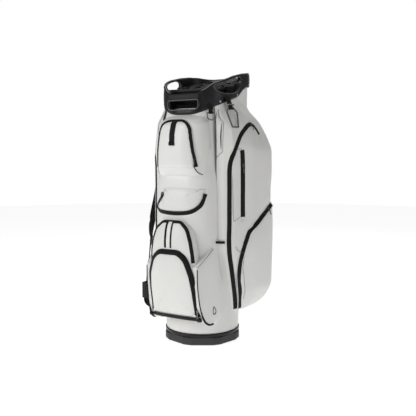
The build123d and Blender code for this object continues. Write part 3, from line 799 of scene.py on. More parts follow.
# ---- front gusset, with a slit for a cart's strap ----
def make_gusset():
    heights = np.concatenate([[92.0, 94, 97], np.arange(100, 798, 3.0), [800.0]])
    stacked = ring_stack(GUSSET, heights, 34, 18)
    verts = stacked.reshape(-1, 3)
    faces = grid_faces(len(heights), stacked.shape[1], closed=True)
    out = normals_of(verts, faces)
    out = out * np.sign((out * (verts - np.array([0, -80, 0]))).sum(1, keepdims=True) + 1e-9)
    verts = verts + out * (wobble(verts, 75, 2.0) * 0.7)[:, None]
    keep = ~inside_tube(verts, 3.0) & (verts[:, 2] <= SKIRT(verts[:, 1]) + 1)
    verts, faces = keep_faces(verts, faces, keep)
    made = piece("gusset_skin", verts, faces, WHITE, cad=["front_gusset"])
    modifier(made, "SOLIDIFY", thickness=2.0 * MM, offset=-1.0)
    apply_modifiers(made)
    # lens-shaped slit right through
    z = np.linspace(-1, 1, 25)
    lens = [(-105 + 4.6 * (1 - k * k), 699 + 43 * k) for k in z]
    lens += [(-105 - 4.6 * (1 - k * k), 699 + 43 * k) for k in z[::-1][1:-1]]
    cut(made, prism("slit_cutter", lens, -200, 200))


def prism(name, outline_yz, x_low, x_high):
    """A closed (y, z) outline carried along X, as a tool for cutting."""
    outline = np.asarray(outline_yz, float)
    n = len(outline)
    verts = [(x, y, z) for x in (x_low, x_high) for y, z in outline]
    mesh = bpy.data.meshes.new(name)
    mesh.from_pydata(
        [tuple(v) for v in to_m(verts)], [], grid_faces(2, n, closed=True) + end_faces(2, n)
    )
    return linked(name, mesh)


def cut(made, cutter):
    solver = modifier(made, "BOOLEAN", operation="DIFFERENCE", object=cutter, solver="EXACT")
    solver.use_hole_tolerant = True
    apply_modifiers(made)
    bpy.data.objects.remove(cutter)


# ---- valuables pocket ----
def arch_line(half_top, half_base, z_low, z_high, radius, spacing=2.0):
    """An arch as (x, z): up one leg, over, and down the other."""
    corners = [(-half_base, z_low), (-half_top, z_high), (half_top, z_high), (half_base, z_low)]
    return resample(filleted_chain(corners, (radius, radius), (30, 30, 30), (20, 20)), spacing)


VAL_ARCH = arch_line(50, 72, 600, 746, 42)


def make_valuables():
    """The pocket with an arched door, raised inside its zip and creased along its foot."""
    heights = np.arange(566, 771, 1.75)
    stacked = ring_stack(VALUABLES, heights, 60, 26)
    verts = stacked.reshape(-1, 3)
    faces = grid_faces(len(heights), stacked.shape[1], closed=True)
    x, y, z = verts.T
    d = distance_to(verts[:, [0, 2]], VAL_ARCH)
    within = inside(verts[:, [0, 2]], np.vstack([VAL_ARCH, [(66, 560), (-66, 560)]]))
    signed = np.where(within, d, -d)
    lift = 6.5 * ramp(signed, -4, 5) * ramp(z, 578, 606) + 4.0 * ramp(signed, 0, 45) * ramp(z, 580, 620)
    crease = 1.6 * np.exp(-((z - 601 + 0.00035 * x ** 2) / 1.8) ** 2) * (np.abs(x) < 66)
    verts[:, 1] -= np.where(y < -100, lift - crease, 0)
    out = normals_of(verts, faces)
    forward = np.sign(out @ np.array([0, -1, 0]) + 1e-9)
    verts = verts + out * (wobble(verts, 48, 5.0) * 0.5)[:, None] * forward[:, None]
    verts, faces = keep_faces(verts, faces, (verts[:, 1] < -60) & ~inside_tube(verts, 2.0))
    return piece("valuables_skin", verts, faces, WHITE, cad=["valuables_pocket"])


# ---- ball, cooler and mid pockets ----
BALL_FACE = Profile([(270, -202), (326, -207), (363, -207), (402, -203), (432, -195)], 10)
COOLER_FACE = Profile([(96, -182), (135, -191), (208, -207), (255, -215), (345, -223)], 10)


def gusset_front(x, z):
    """How far forward the gusset lies at (x, z), round its corners too."""
    half, front, back, radius = GUSSET(z).T
    turn = np.clip(np.abs(x) - (half - radius), 0, radius - 2)
    return front + radius - np.sqrt(radius**2 - turn**2)


def face_ball(x, z):
    return BALL_FACE(z) + 10.0 * (np.abs(x) / 88) ** 2.6


def face_cooler(x, z):
    return COOLER_FACE(z) + 10.0 * (np.abs(x) / 104) ** 2.6


def front_place(face_y):
    def place(xz, height):
        return np.column_stack([xz[:, 0], face_y(xz[:, 0], xz[:, 1]) - height, xz[:, 1]])
    return place


def mirrored_outline(half, radii):
    """A closed outline from its right half, as (x, z) points from the foot up, and their radii."""
    return closed_fillet(half + [(-x, z) for x, z in half[::-1]], radii + radii[::-1])


BALL_OUT = mirrored_outline(
    [(86, 282), (83, 326), (77, 363), (64, 404), (36, 430)], (8, 90, 80, 50, 30)
)
COOL_OUT = mirrored_outline(
    [(95, 106), (95, 140), (92.5, 208), (87, 258), (68, 314), (38, 338)], (12, 120, 120, 90, 60, 40)
)
MID_OUT = closed_fillet(
    [(-46, 534), (-62, 500), (-90, 468), (-66, 450), (0, 446), (58, 451), (84, 470), (98, 534)],
    (3, 30, 12, 30, 200, 40, 30, 4),
)
MID_TAPE = [
    (-45, 516), (-58, 499), (-84, 469), (-63, 455.5), (0, 451), (52, 455.5), (78, 471), (88, 492),
    (92, 516),
]


def stuffed(name, outline, place, rows, crown, rise, cad, rings=40):
    """A stuffed panel: walls and rounded edge from rows, then a face filled on a fine grid.

    place(points, heights) turns the outline's own coordinates into x, y, z. rows are (inset,
    height) pairs. The face stands rise(points, edge, s) above its edge, s being 1 at the edge and
    0 in the middle, where it stands crown above it.
    """
    outline = counter_clockwise(np.asarray(outline, float))
    n = len(outline)
    stack = [place(inset_outline(outline, inset)[0], np.full(n, float(h))) for inset, h in rows]
    edge, top = inset_outline(outline, rows[-1][0])[0], rows[-1][1]
    centre = edge.mean(0)
    for k in range(1, rings):
        s = 1 - k / rings
        points = centre + (edge - centre) * s
        stack.append(place(points, top + rise(points, edge, s)))
    faces = grid_faces(len(stack), n, closed=True)
    first = (len(stack) - 1) * n
    faces += [(first + i, first + (i + 1) % n, first + n) for i in range(n)]
    faces += [tuple(range(n))[::-1]]
    verts = np.vstack([*stack, place(centre[None], np.array([top + crown]))])
    return piece(name, verts, faces, WHITE, cad=cad)


def pouch(name, outline, place, rows, crown, reach, seed, cad):
    """A stuffed pocket whose face rises to its crown within about reach of the edge."""
    def rise(points, edge, _):
        d = distance_to(points, edge)
        flat = np.column_stack([points[:, 0], points[:, 0] * 0, points[:, 1]])
        uneven = 0.8 * wobble(flat, 46, seed) + 0.35 * wobble(flat, 19, seed + 4)
        return crown * (1 - np.exp(-d / reach * 1.6)) + ramp(d, 2, 16) * uneven

    return stuffed(name, outline, place, rows, crown, rise, cad)


def make_front_pockets():
    mid = [(-1, -6), (0, -1), (1, 0.6), (3.5, 1.6), (8, 3.4), (9.5, 4.0), (11, 4.4)]
    ball = [(1, -40), (0.5, -26), (0, -12), (0, -10.5), (1.0, -7.0), (4.5, -4.6), (8, -2.4),
            (9.6, -1.2), (11, -0.4), (13, 0)]
    cooler = [(1, -44), (0.5, -28), (0, -17), (0, -15), (1.2, -10.6), (6, -7.2), (12, -3.4),
              (15.5, -1.1), (17, -0.4), (19, 0)]
    return {
        name: pouch(name + "_skin", outline, front_place(face), rows, crown, reach, seed,
                    [name + "_pocket"])
        for name, outline, face, rows, crown, reach, seed in (
            ("mid", MID_OUT, gusset_front, mid, 2.2, 16, 7.0),
            ("ball", BALL_OUT, face_ball, ball, 4.5, 22, 3.0),
            ("cooler", COOL_OUT, face_cooler, cooler, 5.0, 26, 9.0),
        )
    }


# ---- side pockets ----
EDGE_COUNTS, ARC_COUNTS = (14, 12, 30, 56, 26), (5, 6, 12, 20)
CORNER_R = (6, 7, 32, 48)


def side_chain(flat):
    """The right side pocket's level outline, as x and y, from one row of CHAIN_PROFILE."""
    return filleted_chain(flat.reshape(-1, 2), CORNER_R, EDGE_COUNTS, ARC_COUNTS, 0.45)


APPAREL = curve_through([
    (134, -2, 106), (144, -26, 160), (146, -52, 250), (145.5, -72, 330), (145.5, -72, 420),
    (145.5, -72, 520), (146, -71.5, 600), (152, -61, 641), (157.4, -46, 672), (160, -24, 703),
    (162.5, -1, 722), (163.1, 24, 737), (162.8, 47, 743.5), (165.4, 66, 740), (172.2, 76, 724),
    (178.7, 81, 706),
], 2.5)
VEST = curve_through(
    [(170.5, -26.5, 431), (170.2, -27, 548), (169.4, -28.5, 640), (168.4, -31, 657)], 2.5
)
REAR = curve_through([
    (146, 6, 112), (157, -14, 170), (161, -31, 232), (167, -33, 284), (178, -23, 338), (186, -6, 382),
    (196, 27, 406), (202, 85, 440), (204, 118, 460), (202, 138, 470),
], 2.5)
REAR_OUTLINE = [
    (6, 108), (-14, 170), (-31, 232), (-33, 284), (-23, 338), (-6, 382), (27, 406), (85, 440),
    (118, 460), (138, 470), (176, 480), (200, 300), (180, 90),
]


SIDE_FOOT = 105.0


def side_verts():
    """The right side pocket's points before it is padded: rows that level out towards its foot."""
    rows, table = 300, {}

    def chain_at(z):
        key = round(float(z), 1)
        if key not in table:
            table[key] = side_chain(CHAIN_PROFILE(float(z)))
        return table[key]

    n = len(side_chain(CHAIN_PROFILE(400.0)))
    verts = np.zeros((rows, n, 3))
    for r, t in enumerate(np.linspace(0, 1, rows)):
        z = np.full(n, SIDE_FOOT + t * 730)
        for _ in range(3):
            z = SIDE_FOOT + t * (SKIRT(chain_at(float(z.mean()))[:, 1]) - 0.6 - SIDE_FOOT)
        a, b = float(z.min()), float(z.max())
        # a row that rises much is put together from several level outlines
        parts = 1 if b - a < 12 else 6
        chains = np.array([chain_at(s) for s in np.linspace(a, b, parts + 1)])
        at = (z - a) / max(b - a, 1e-6) * parts
        i = np.clip(at.astype(int), 0, parts - 1)
        f = (at - i)[:, None]
        k = np.arange(n)
        verts[r] = np.column_stack([chains[i, k] * (1 - f) + chains[i + 1, k] * f, z])
    # rounded lower edge
    rise = verts[..., 2] - SIDE_FOOT
    tuck = np.where(rise < 14, 14 - np.sqrt(np.maximum(14**2 - (14 - rise) ** 2, 0)), 0)
    verts[..., :2] += unit(np.array([118.0, 70.0]) - verts[..., :2]) * tuck[..., None]
    return verts


def make_side(side, base):
    """One side pocket: crowned panels between the zips, the raised rear pocket, soft unevenness."""
    rows, n, _ = base.shape
    verts = base.reshape(-1, 3).copy()
    faces = grid_faces(rows, n)
    out = normals_of(verts, faces)
    flip = np.sign(((verts - np.array([90.0, 60.0, 0])) * np.array([1, 1, 0]) * out).sum(1))
    out = out * np.where(flip == 0, 1, flip)[:, None]
    x, y, z = verts.T
    under_skirt = SKIRT(y) - z
    d_rear = distance_to(verts, REAR)
    within = inside(verts[:, 1:], REAR_OUTLINE) & (x > 120)
    raised = 6.0 * ramp(np.where(within, d_rear, -d_rear), -3, 9)
    raised *= ramp(z, 100, 118) * ramp(y, 175, 135) * (x > 110)
    at_edge = np.minimum(np.minimum(distance_to(verts, APPAREL), distance_to(verts, VEST)), d_rear)
    puff = 2.6 * (1 - np.exp(-np.maximum(at_edge - 9, 0) / 30))
    puff *= ramp(y, -78, -55) * ramp(under_skirt, 4, 60) * ramp(z, 104, 130)
    seed = 3.0 if side > 0 else 8.0
    uneven = 0.8 * wobble(verts, 70, seed) + 0.3 * wobble(verts, 26, seed + 2)
    uneven *= ramp(under_skirt, 0, 30)
    sink = 1.4 * (1 - ramp(at_edge, 7, 12))
    waist = -3.0 * np.exp(-((z - 520 + 0.4 * (y - 150)) / 34) ** 2) * ramp(y, 60, 160)
    verts += out * (raised + puff + uneven * 0.9 - sink + waist)[:, None]
    # the underside, closed towards its middle
    first = len(verts)
    middle = np.array([112.0, 66.0, 106.5])
    verts = np.vstack([verts] + [middle + (verts[:n] - middle) * s for s in (0.75, 0.5, 0.25)])
    for low, high in ((0, first), (first, first + n), (first + n, first + 2 * n)):
        faces += [(high + c, high + c + 1, low + c + 1, low + c) for c in range(n - 1)]
    keep = ~inside_tube(verts, 2.5)
    half, front, _, _ = GUSSET(verts[:, 2]).T
    keep &= ~((np.abs(verts[:, 0]) < half - 3) & (verts[:, 1] < -20) & (verts[:, 1] > front + 3)
              & (verts[:, 2] < 800))
    verts, faces = keep_faces(verts, faces, keep)
    if side < 0:
        verts, faces = verts * np.array([-1, 1, 1]), [f[::-1] for f in faces]
    cad = ["side_pocket_" + SIDES[side]] + (["rear_pockets"] if side > 0 else [])
    return piece("side_skin_" + SIDES[side], verts, faces, WHITE, cad=cad)


def quick_x(y):
    """How far out the quick-access pocket's face lies at y: it runs forward to the cooler pocket."""
    return 112.5 - 0.00092 * np.maximum(-62 - np.asarray(y, float), 0) ** 2


QUICK_OUT = closed_fillet(
    [(-116, 336), (-198, 282), (-196, 220), (-184, 150), (-164, 104), (-140, 86), (-98, 84),
     (-56, 96), (-62, 204), (-88, 300)],
    (8, 8, 60, 60, 30, 26, 40, 20, 120, 60),
)


def make_quick(side):
    name = SIDES[side]

    def place(yz, height):
        return np.column_stack([side * (quick_x(yz[:, 0]) + height), yz])

    made = pouch(
        "quick_skin_" + name, QUICK_OUT, place,
        [(2, -34), (0.6, -18), (0, -6), (0, -1.5), (0.8, 0.2), (2.2, 1.0), (4, 1.4)], 2.4, 30, 5.0,
        ["quick_pocket_" + name],
    )
    # dark piping down its front edge, fuller low down
    front = [(-197, 276), (-195.5, 220), (-184, 152), (-165, 106), (-141, 87.5), (-118, 85)]
    line = curve_through([(0, *p) for p in front], 2.0)
    line[:, 0] = side * (quick_x(line[:, 1]) + 1.6)
    verts, faces, uvs = strip_mesh(line, facing(line, side, 0, 0), oval(1, 0.8, 10))
    verts = scaled_about(line, verts, 2.0 + 1.8 * np.exp(-((line[:, 2] - 104) / 26) ** 2))
    piece("quick_piping_" + name, verts, faces, EDGE_TAPE, uvs=uvs)
    # a near-black cord of painted shade along its top seam
    line = resample(np.array([(0, -194, 283.5), (0, -118, 333.5)]), 2.0)
    line[:, 0] = side * (quick_x(line[:, 1]) + 1.3)
    seam_shade_cord("quick_seam_shade_" + name, line, facing(line, side, 0, 0), 1.4, 0.6)
    return made


def facing(line, x, y, z):
    """One outward direction for every point of a line."""
    return np.tile([float(x), y, z], (len(line), 1))


# ---- collar ----
COLLAR_X, COLLAR_FRONT, COLLAR_BACK, COLLAR_FRONT_R, COLLAR_BACK_R = 125, -125, 175, 110, 84
COLLAR_WALL = 12.0


def collar_outline(spacing):
    """The collar's plan: rounder at the front than at the back, from its front right corner."""
    points = []
    for side, y, r, start in (
        (1, COLLAR_FRONT, COLLAR_FRONT_R, -90), (1, COLLAR_BACK, COLLAR_BACK_R, 0),
        (-1, COLLAR_BACK, COLLAR_BACK_R, 90), (-1, COLLAR_FRONT, COLLAR_FRONT_R, 180),
    ):
        angles = np.radians(start + np.linspace(0, 90, 40))
        x, y = side * (COLLAR_X - r), y + r if y < 0 else y - r
        points.append(np.stack([x + r * np.cos(angles), y + r * np.sin(angles)], 1))
    return closed_resample(np.vstack(points), spacing)


def collar_half(y):
    """The collar's half width at y."""
    y = np.asarray(y, float)
    front = np.clip(COLLAR_FRONT + COLLAR_FRONT_R - y, 0, COLLAR_FRONT_R - 1)
    back = np.clip(y - COLLAR_BACK + COLLAR_BACK_R, 0, COLLAR_BACK_R - 1)
    at_front = COLLAR_X - COLLAR_FRONT_R + np.sqrt(COLLAR_FRONT_R**2 - front**2)
    return np.where(front > 0, at_front, COLLAR_X - COLLAR_BACK_R + np.sqrt(COLLAR_BACK_R**2 - back**2))


SIDE_OPENING = [
    (-90, 863), (-84, 849), (-68, 841), (-44, 839), (0, 845), (26, 853), (40, 868), (48, 888),
    (42, 899), (26, 901), (4, 896), (-22, 889), (-52, 878), (-78, 869),
]


# turns a prism made along X onto Y; it swaps the handedness too, so its normals are flipped
SWAP_XY = Matrix(((0, 1, 0, 0), (1, 0, 0, 0), (0, 0, 1, 0), (0, 0, 0, 1)))


def make_collar():
    """Moulded collar: solid wall with rounded rim, handle openings, softened all over."""
    line = collar_outline(2.4)
    tangent = unit(np.roll(line, -1, 0) - np.roll(line, 1, 0))
    inward = np.stack([-tangent[:, 1], tangent[:, 0]], 1)
    y = line[:, 1]
    low, high = SKIRT(y), RIM(y)
    front = ramp(-y, 96, 122)
    rows = []

    def row(inset, z):
        rows.append(np.column_stack([line + inward * np.asarray(inset, float).reshape(-1, 1), z]))

    def flat_row(inset, z):
        row(np.full(len(line), inset), z)

    for inset, z in ((5.0, low), (1.2, low + 0.3), (0.2, low + 2)):
        flat_row(inset, z)
    for t in np.linspace(0.06, 0.94, 26):
        swell = 1.6 * math.sin(math.pi * t)
        row(-swell * (1 - front) - 0.4 * front, low + (high - low) * t)
    for inset, fall in ((0.8, 2.4), (3.0, 0.5), (6.0, 0), (9.0, 0.5), (11.4, 2.4)):
        flat_row(inset, high - fall)
    for t in np.linspace(0.94, 0.05, 12):
        flat_row(COLLAR_WALL, low + (high - low) * t)
    flat_row(COLLAR_WALL - 0.5, low)
    n, m = len(line), len(rows)
    faces = grid_faces(m, n, closed=True) + loop_faces(m, n)
    made = piece("collar_skin", np.vstack(rows), faces, COLLAR, cad=["collar"])
    side_holes = counter_clockwise(curve_through(SIDE_OPENING, 4, closed=True))
    cut(made, prism("side_cutter", side_holes, -200, 200))
    front_hole = closed_fillet([(-57, 786), (57, 786), (57, 1000), (-57, 1000)], (24, 24, 5, 5), 4)
    box = prism("front_cutter", front_hole, -160, -82)
    box.data.transform(SWAP_XY)
    box.data.flip_normals()
    cut(made, box)
    modifier(made, "REMESH", mode="VOXEL", voxel_size=1.9 * MM, adaptivity=0.0)
    modifier(made, "SMOOTH", factor=0.6, iterations=6)
    apply_modifiers(made)


def make_grip():
    """The padded front grip: a rounded bar with a fine raised diamond pattern."""
    half_length, count, ring = 59.0, 150, 72
    angles = np.linspace(0, 2 * math.pi, ring, endpoint=False)
    arc = angles * 10.4
    # rounded square section
    c, s = (np.sign(v) * np.abs(v) ** 0.55 for v in (np.cos(angles), np.sin(angles)))
    rows = []
    for x in np.linspace(-half_length, half_length, count):
        end = min(1.0, (half_length - abs(x)) / 5.0)
        shrink = 0.75 + 0.25 * math.sqrt(max(1 - (1 - end) ** 2, 0))
        diamonds = (np.abs(np.sin((x + arc * 0.9) * math.pi / 3.4))
                    * np.abs(np.sin((x - arc * 0.9) * math.pi / 3.4)))
        grow = shrink * (1 + 0.055 * diamonds * (end > 0.9))
        bow = 3.0 * (1 - (x / half_length) ** 2)
        rows.append(np.column_stack([
            np.full(ring, x), -114.5 - bow + 9.6 * c * grow,
            827.0 + 10.4 * s * grow + 1.2 * (x / half_length) ** 2,
        ]))
    faces = grid_faces(count, ring, closed=True) + end_faces(count, ring)
    piece("grip_bar", np.vstack(rows), faces, RUBBER, cad=["front_grip"])


def make_screws():
    """Low domed screw heads that hold the collar, along its lower edge."""
    verts, faces, count = [], [], 20
    angles = np.linspace(0, 2 * math.pi, count + 1)[:-1]
    up = np.array([0, 0, 1.0])
    dome = ((3.6, -1.0), (3.6, 0.9), (3.0, 1.7), (1.6, 2.0), (1.3, 1.2))
    for side in (-1, 1):
        for y in (-70, 20, 110):
            centre = np.array([side * (collar_half(y) - 0.6), y, float(SKIRT(y)) + 9.0])
            out = unit([side * (collar_half(y) - 15), min(y + 15, 0), 0])
            across = np.cross(out, up)
            faces += grid_faces(len(dome), count, closed=True, first=len(verts))
            faces += end_faces(len(dome), count, len(verts))
            for radius, height in dome:
                verts += [centre + out * height + (across * math.cos(a) + up * math.sin(a)) * radius
                          for a in angles]
    piece("collar_screw_heads", verts, faces, STEEL, cad=["collar_screws"])


def rim_lines():
    """Raised satin bead round the rim and round each opening, as a moulded edge, coloured lighter than
    the collar as painted highlight.
    """
    opening = curve_through(SIDE_OPENING, 3.0, closed=True)
    for side in (-1, 1):
        path = np.column_stack([side * (collar_half(opening[:, 0]) + 0.4), opening])
        out = unit(np.column_stack(
            [path[:, 0] - side * 15, np.minimum(path[:, 1] + 15, 0), path[:, 1] * 0]
        ))
        swept("opening_bead_" + SIDES[side], path, out, oval(1.9, 1.5, 10), LIP_HIGHLIGHT,
              closed_path=True)
    plan = collar_outline(3.0)
    rim = np.column_stack([plan, RIM(plan[:, 1]) - 0.4])
    tangent = unit(np.roll(plan, -1, 0) - np.roll(plan, 1, 0))
    rim[:, :2] -= np.column_stack([tangent[:, 1], -tangent[:, 0]]) * 2.0
    keep = (rim[:, 1] > -112) & (rim[:, 1] < 150)
    for side in (-1, 1):
        part = rim[keep & (rim[:, 0] * side > 0)]
        part = part[np.argsort(part[:, 1])]
        # a light grey bead of painted highlight along the rim's top edge
        swept("rim_highlight_bead_" + SIDES[side], part, facing(part, side * 0.5, 0, 0.86), oval(1.3, 1.1, 10),
              EDGE_HIGHLIGHT)
    # the front opening's lip bead, lighter than the collar as painted highlight
    lip = closed_fillet([(-58, 785), (58, 785), (58, 817), (-58, 817)], (24, 24, 4, 4), 2.5)
    path = np.column_stack([lip[:, 0], np.full(len(lip), -125.4), lip[:, 1]])
    swept("front_lip", path, facing(path, 0, -1.0, 0), oval(2.6, 2.2, 10), LIP_HIGHLIGHT,
          closed_path=True)


# ---- zips and seams ----
def side_of(points, side):
    return np.asarray(points, float) * np.array([side, 1, 1])


def from_front(xz):
    """Points (x, z) moved far in front, to be dropped back onto a surface."""
    xz = np.asarray(xz, float)
    return np.column_stack([xz[:, 0], np.full(len(xz), -300.0), xz[:, 1]])


def lay(surface, xz, passes=6):
    """Where a line (x, z) seen from the front lies on a surface, and its outward directions."""
    found, out = surface.drop(from_front(xz), (0, 1, 0))
    return soften(found, 1), unit(soften(out, passes))


def arch_slope(outline, low, inset, height, face_y, tilt):
    """A path on a front pocket's sloping edge above low, and its outward directions."""
    ring, inward = inset_outline(counter_clockwise(outline), inset)
    keep = ring[:, 1] > low
    start = int(np.argmax(keep & ~np.roll(keep, 1)))
    order = [(start + k) % len(ring) for k in range(int(keep.sum()))]
    ring, inward = ring[order], inward[order]
    path = np.column_stack([ring[:, 0], face_y(ring[:, 0], ring[:, 1]) - height, ring[:, 1]])
    out = np.column_stack([-inward[:, 0] * math.sin(tilt), np.full(len(ring), -math.cos(tilt)),
                           -inward[:, 1] * math.sin(tilt)])
    return soften(path, 2), unit(out)


def slider_on(node_name, path, out, side, height):
    """Puts a slider on a front zip's leg: side -1 or 1, at a height."""
    far = np.where(path[:, 0] * side > 0, np.abs(path[:, 2] - height), 1e6)
    i = int(np.argmin(far))
    zip_slider(node_name, path[i] + out[i] * 1.2, out[i])


def make_front_zips(parts):
    for name, outline, low, inset, height, face, tilt, width, lift, seam, side, rest in (
        ("cooler", COOL_OUT, 117, 8.6, -5.6, face_cooler, 33, 17.0, 0.7, -11.8, 1, 136),
        ("ball", BALL_OUT, 292, 6.2, -3.6, face_ball, 32, 11.5, 0.6, -8.6, -1, 368),
    ):
        path, out = arch_slope(outline, low, inset, height, face, math.radians(tilt))
        zip_strip(name + "_zip_tape", path, out, width, [name + "_zip"], lift=lift, welts=False)
        stitch_line(path, out, across=seam, up=-0.1)
        slider_on(name + "_slider", path, out, side, rest)
    path, out = lay(Surface(parts["mid"]), curve_through(MID_TAPE, 2.5), 12)
    downward = np.where(path[:, 2] < 480, -0.2, 0)
    out = unit(out + np.column_stack([0.004 * path[:, 0], path[:, 0] * 0, downward]))
    zip_strip("mid_zip_tape", soften(path, 4) + out * 1.8, unit(soften(out, 6)), 13.5, ["mid_zip"],
              lift=0.7, welts=False)
    stitch_line(path, out, across=9.0, up=0.2)
    slider_on("mid_slider", path + out * 1.8, out, -1, 513)
    # valuables: tape on the door's raised edge, then thin piping round its foot
    surface = Surface(parts["valuables"])
    path, _ = lay(surface, VAL_ARCH, 10)
    tangent = unit(np.gradient(VAL_ARCH, axis=0))
    outward = np.column_stack([-tangent[:, 1], tangent[:, 0]])
    outward *= np.sign((outward * (VAL_ARCH - np.array([0, 660]))).sum(1))[:, None]
    out = np.column_stack([outward[:, 0] * 0.5, -np.ones(len(path)), outward[:, 1] * 0.4])
    out = unit(soften(out, 6))
    zip_strip("valuables_zip_tape", path + out * 0.9, out, 12.5, ["valuables_zip"], welts=False)
    stitch_line(path, out, across=-8.6, up=-0.2)
    slider_on("valuables_slider", path + out * 0.9, out, 1, 622)
    for side in (-1, 1):
        tail = curve_through(
            [(side * 69, 603), (side * 70.5, 592), (side * 76, 582), (side * 84, 575)], 2.0)
        line, normal = surface.drop(from_front(tail), (0, 1, 0))
        swept("valuables_piping_" + SIDES[side][0], line, unit(soften(normal, 4)),
              oval(1.5, 1.5, 8), EDGE_TAPE)


def make_side_zips(side, surface):
    # a zip's line, its tape's width and where its slider rests, as (y, z)
    for name, line, width, rest in (
        ("apparel", APPAREL, 15.0, (47, 741)), ("vest", VEST, 18.5, (-27, 604)),
        ("rear", REAR, 14.0, (106, 452)),
    ):
        found, out = surface.nearest(side_of(line, side))
        out *= np.sign(out[:, :1] * side + 1e-9)
        found, out = soften(found, 8), unit(soften(out, 16))
        if name == "apparel":
            # on the pocket's front corner the tape faces half forward
            turn = ramp(found[:, 2], 200, 300) * ramp(-found[:, 2], -650, -600)
            corner = unit([side * 0.56, -0.83, 0])
            out = unit(out * (1 - turn[:, None]) + corner * turn[:, None])
        zip_strip(f"{name}_zip_{SIDES[side]}", found, out, width, [name + "_zips"] if side > 0 else [],
                  lift=1.1)
        i = int(np.argmin(np.hypot(found[:, 1] - rest[0], found[:, 2] - rest[1])))
        zip_slider(f"{name}_slider_{SIDES[side]}", found[i] + out[i] * 2.0, out[i])
        for across in (-10.6, 10.6):
            stitch_line(found, out, across=across, up=0.5)


def make_seams(side, surface):
    tag = SIDES[side]
    # near-black cords of painted shade along the vest pocket's seams
    for name, points in (
        ("vest_frame", [(-56, 650), (-65, 632), (-66, 600), (-65, 524), (-64, 440), (-63, 420)]),
        ("vest_foot", [(-63, 420), (-43, 432), (-14, 448)]),
        ("vest_top", [(-56, 650), (-39, 661), (-20, 646)]),
    ):
        found, out = onto_side(surface, resample([(0, *p) for p in points], 3.0), side)
        found, out = soften(found, 2), unit(soften(out, 6))
        seam_shade_cord(f"seam_{name}_{tag}", found + out * 0.3, out, 1.1, 0.6)
    # the kinked seam, a near-black cord of painted shade, and the narrow dark slit for a cart's strap,
    # on the pocket's front wall
    kink = [(107, 786), (112, 762), (127, 743), (127, 650), (106, 630)]
    found, out = onto_front(surface, kink, side)
    seam_shade_cord(f"slit_seam_shade_{tag}", found + out * 0.3, out, 1.5, 0.7)
    stitch_line(found, out, across=3.0 * side, up=0.3)
    found, out = onto_front(surface, [(121.5, 742), (120, 698), (121.5, 655)], side)
    half = 0.5 + 3.0 * (1 - np.linspace(-1, 1, len(found)) ** 2)
    verts, faces, uvs = strip_mesh(found, out, oval(1, 0.5, 12))
    sunk = np.repeat(out * (half[:, None] - 0.5) * 0.45, 12, axis=0)
    verts = scaled_about(found, verts, half) - sunk
    piece(f"strap_slit_{tag}", verts, faces, LINING, uvs=uvs)
    # the long seam in the valley between the front and this pocket, a near-black cord of painted shade
    found, out = onto_front(surface, [(103.5, 776), (103.5, 640), (103.5, 480), (103.5, 345)], side)
    seam_shade_cord(f"valley_seam_shade_{tag}", found + out * 0.4, out, 1.4, 0.8)
    # a near-black cord of painted shade along the seam low on the side
    low = curve_through([(0, -108, 330), (0, -90, 300), (0, -64, 204), (0, -52, 110)], 3.0)
    found, out = onto_side(surface, low, side)
    seam_shade_cord(f"low_seam_shade_{tag}", soften(found, 2) + out * 0.3, unit(soften(out, 6)), 1.3, 0.6)


def onto_side(surface, line, side, start=260.0):
    """Where a line (x, y, z) lies on a side, looking inwards from start."""
    return surface.drop(side_of(line, side) + np.array([side * start, 0, 0]), (-side, 0, 0))


def onto_front(surface, xz, side):
    """A line (x, z) on a side pocket's front wall, found looking back from the front."""
    line = resample(xz, 2.5)
    line = np.column_stack([side * line[:, 0], np.full(len(line), -140.0), line[:, 1]])
    found, out = surface.drop(line, (0, 1, 0))
    return soften(found, 1), unit(soften(out, 6))


# ---- straps ----
def make_front_straps(parts):
    found, out = lay(Surface(parts["valuables"]), resample([(-1, 748), (-1, 668)], 3))
    strap("door_strap", found + out * 0.2, out, 19, 2.6, WEBBING, crown=0.5, cad=["pull_strap"])
    for across in (-7.6, 7.6):
        stitch_line(found, out, across=across, up=3.0, colour="dark")
    strap("door_strap_end", found[-5:] + out[-5:] * 1.2, out[-5:], 20.5, 3.4, EDGE_TAPE)
    found, out = lay(Surface(parts["ball"]), resample([(-3, 424), (-3, 341)], 3))
    strap("stripe_middle", found + out * 0.3, out, 14, 1.8, WELT, crown=0.5,
          cad=["ball_strap"])
    for tag, across, width in (("l", -9.4, 4.8), ("r", 11.0, 8.5)):
        strap("stripe_edge_" + tag, offset_path(found, out, across, 0.2), out, width, 1.5, EDGE_TAPE)
    for across in (-5.4, 5.4):
        stitch_line(found, out, across=across, up=2.1)


def make_binding():
    """Black edging under the cooler pocket, with its two pointed corners."""
    xs = np.linspace(-99, 99, 70)
    z = np.full(len(xs), 116.0)
    path = np.column_stack([xs, face_cooler(xs, z) + 5.5, z - 5.5])
    out = np.tile(unit([0, -0.75, -0.66]), (len(xs), 1))
    strap("cooler_edge", path, out, 17, 2.6, EDGE_TAPE, crown=0.8, cad=["cooler_binding"])
    for side in (-1, 1):
        line = resample([(side * 90, -183, 112), (side * 96, -179, 107), (side * 100, -176, 103)], 1.5)
        verts, faces, _ = strip_mesh(line, facing(line, 0, -1.0, 0), oval(7, 5, 12))
        verts = scaled_about(line, verts, 1 - ramp(np.linspace(0, 1, len(line)), 0.35, 1.0) * 0.75)
        piece("cooler_corner_" + SIDES[side][0], verts, faces, RUBBER)


def strap_out(path):
    out = path * np.array([1, 1, 0]) - np.array([0, 30, 0])
    return unit(soften(out, 6))


PAD_HALF_WIDTH = 24.5


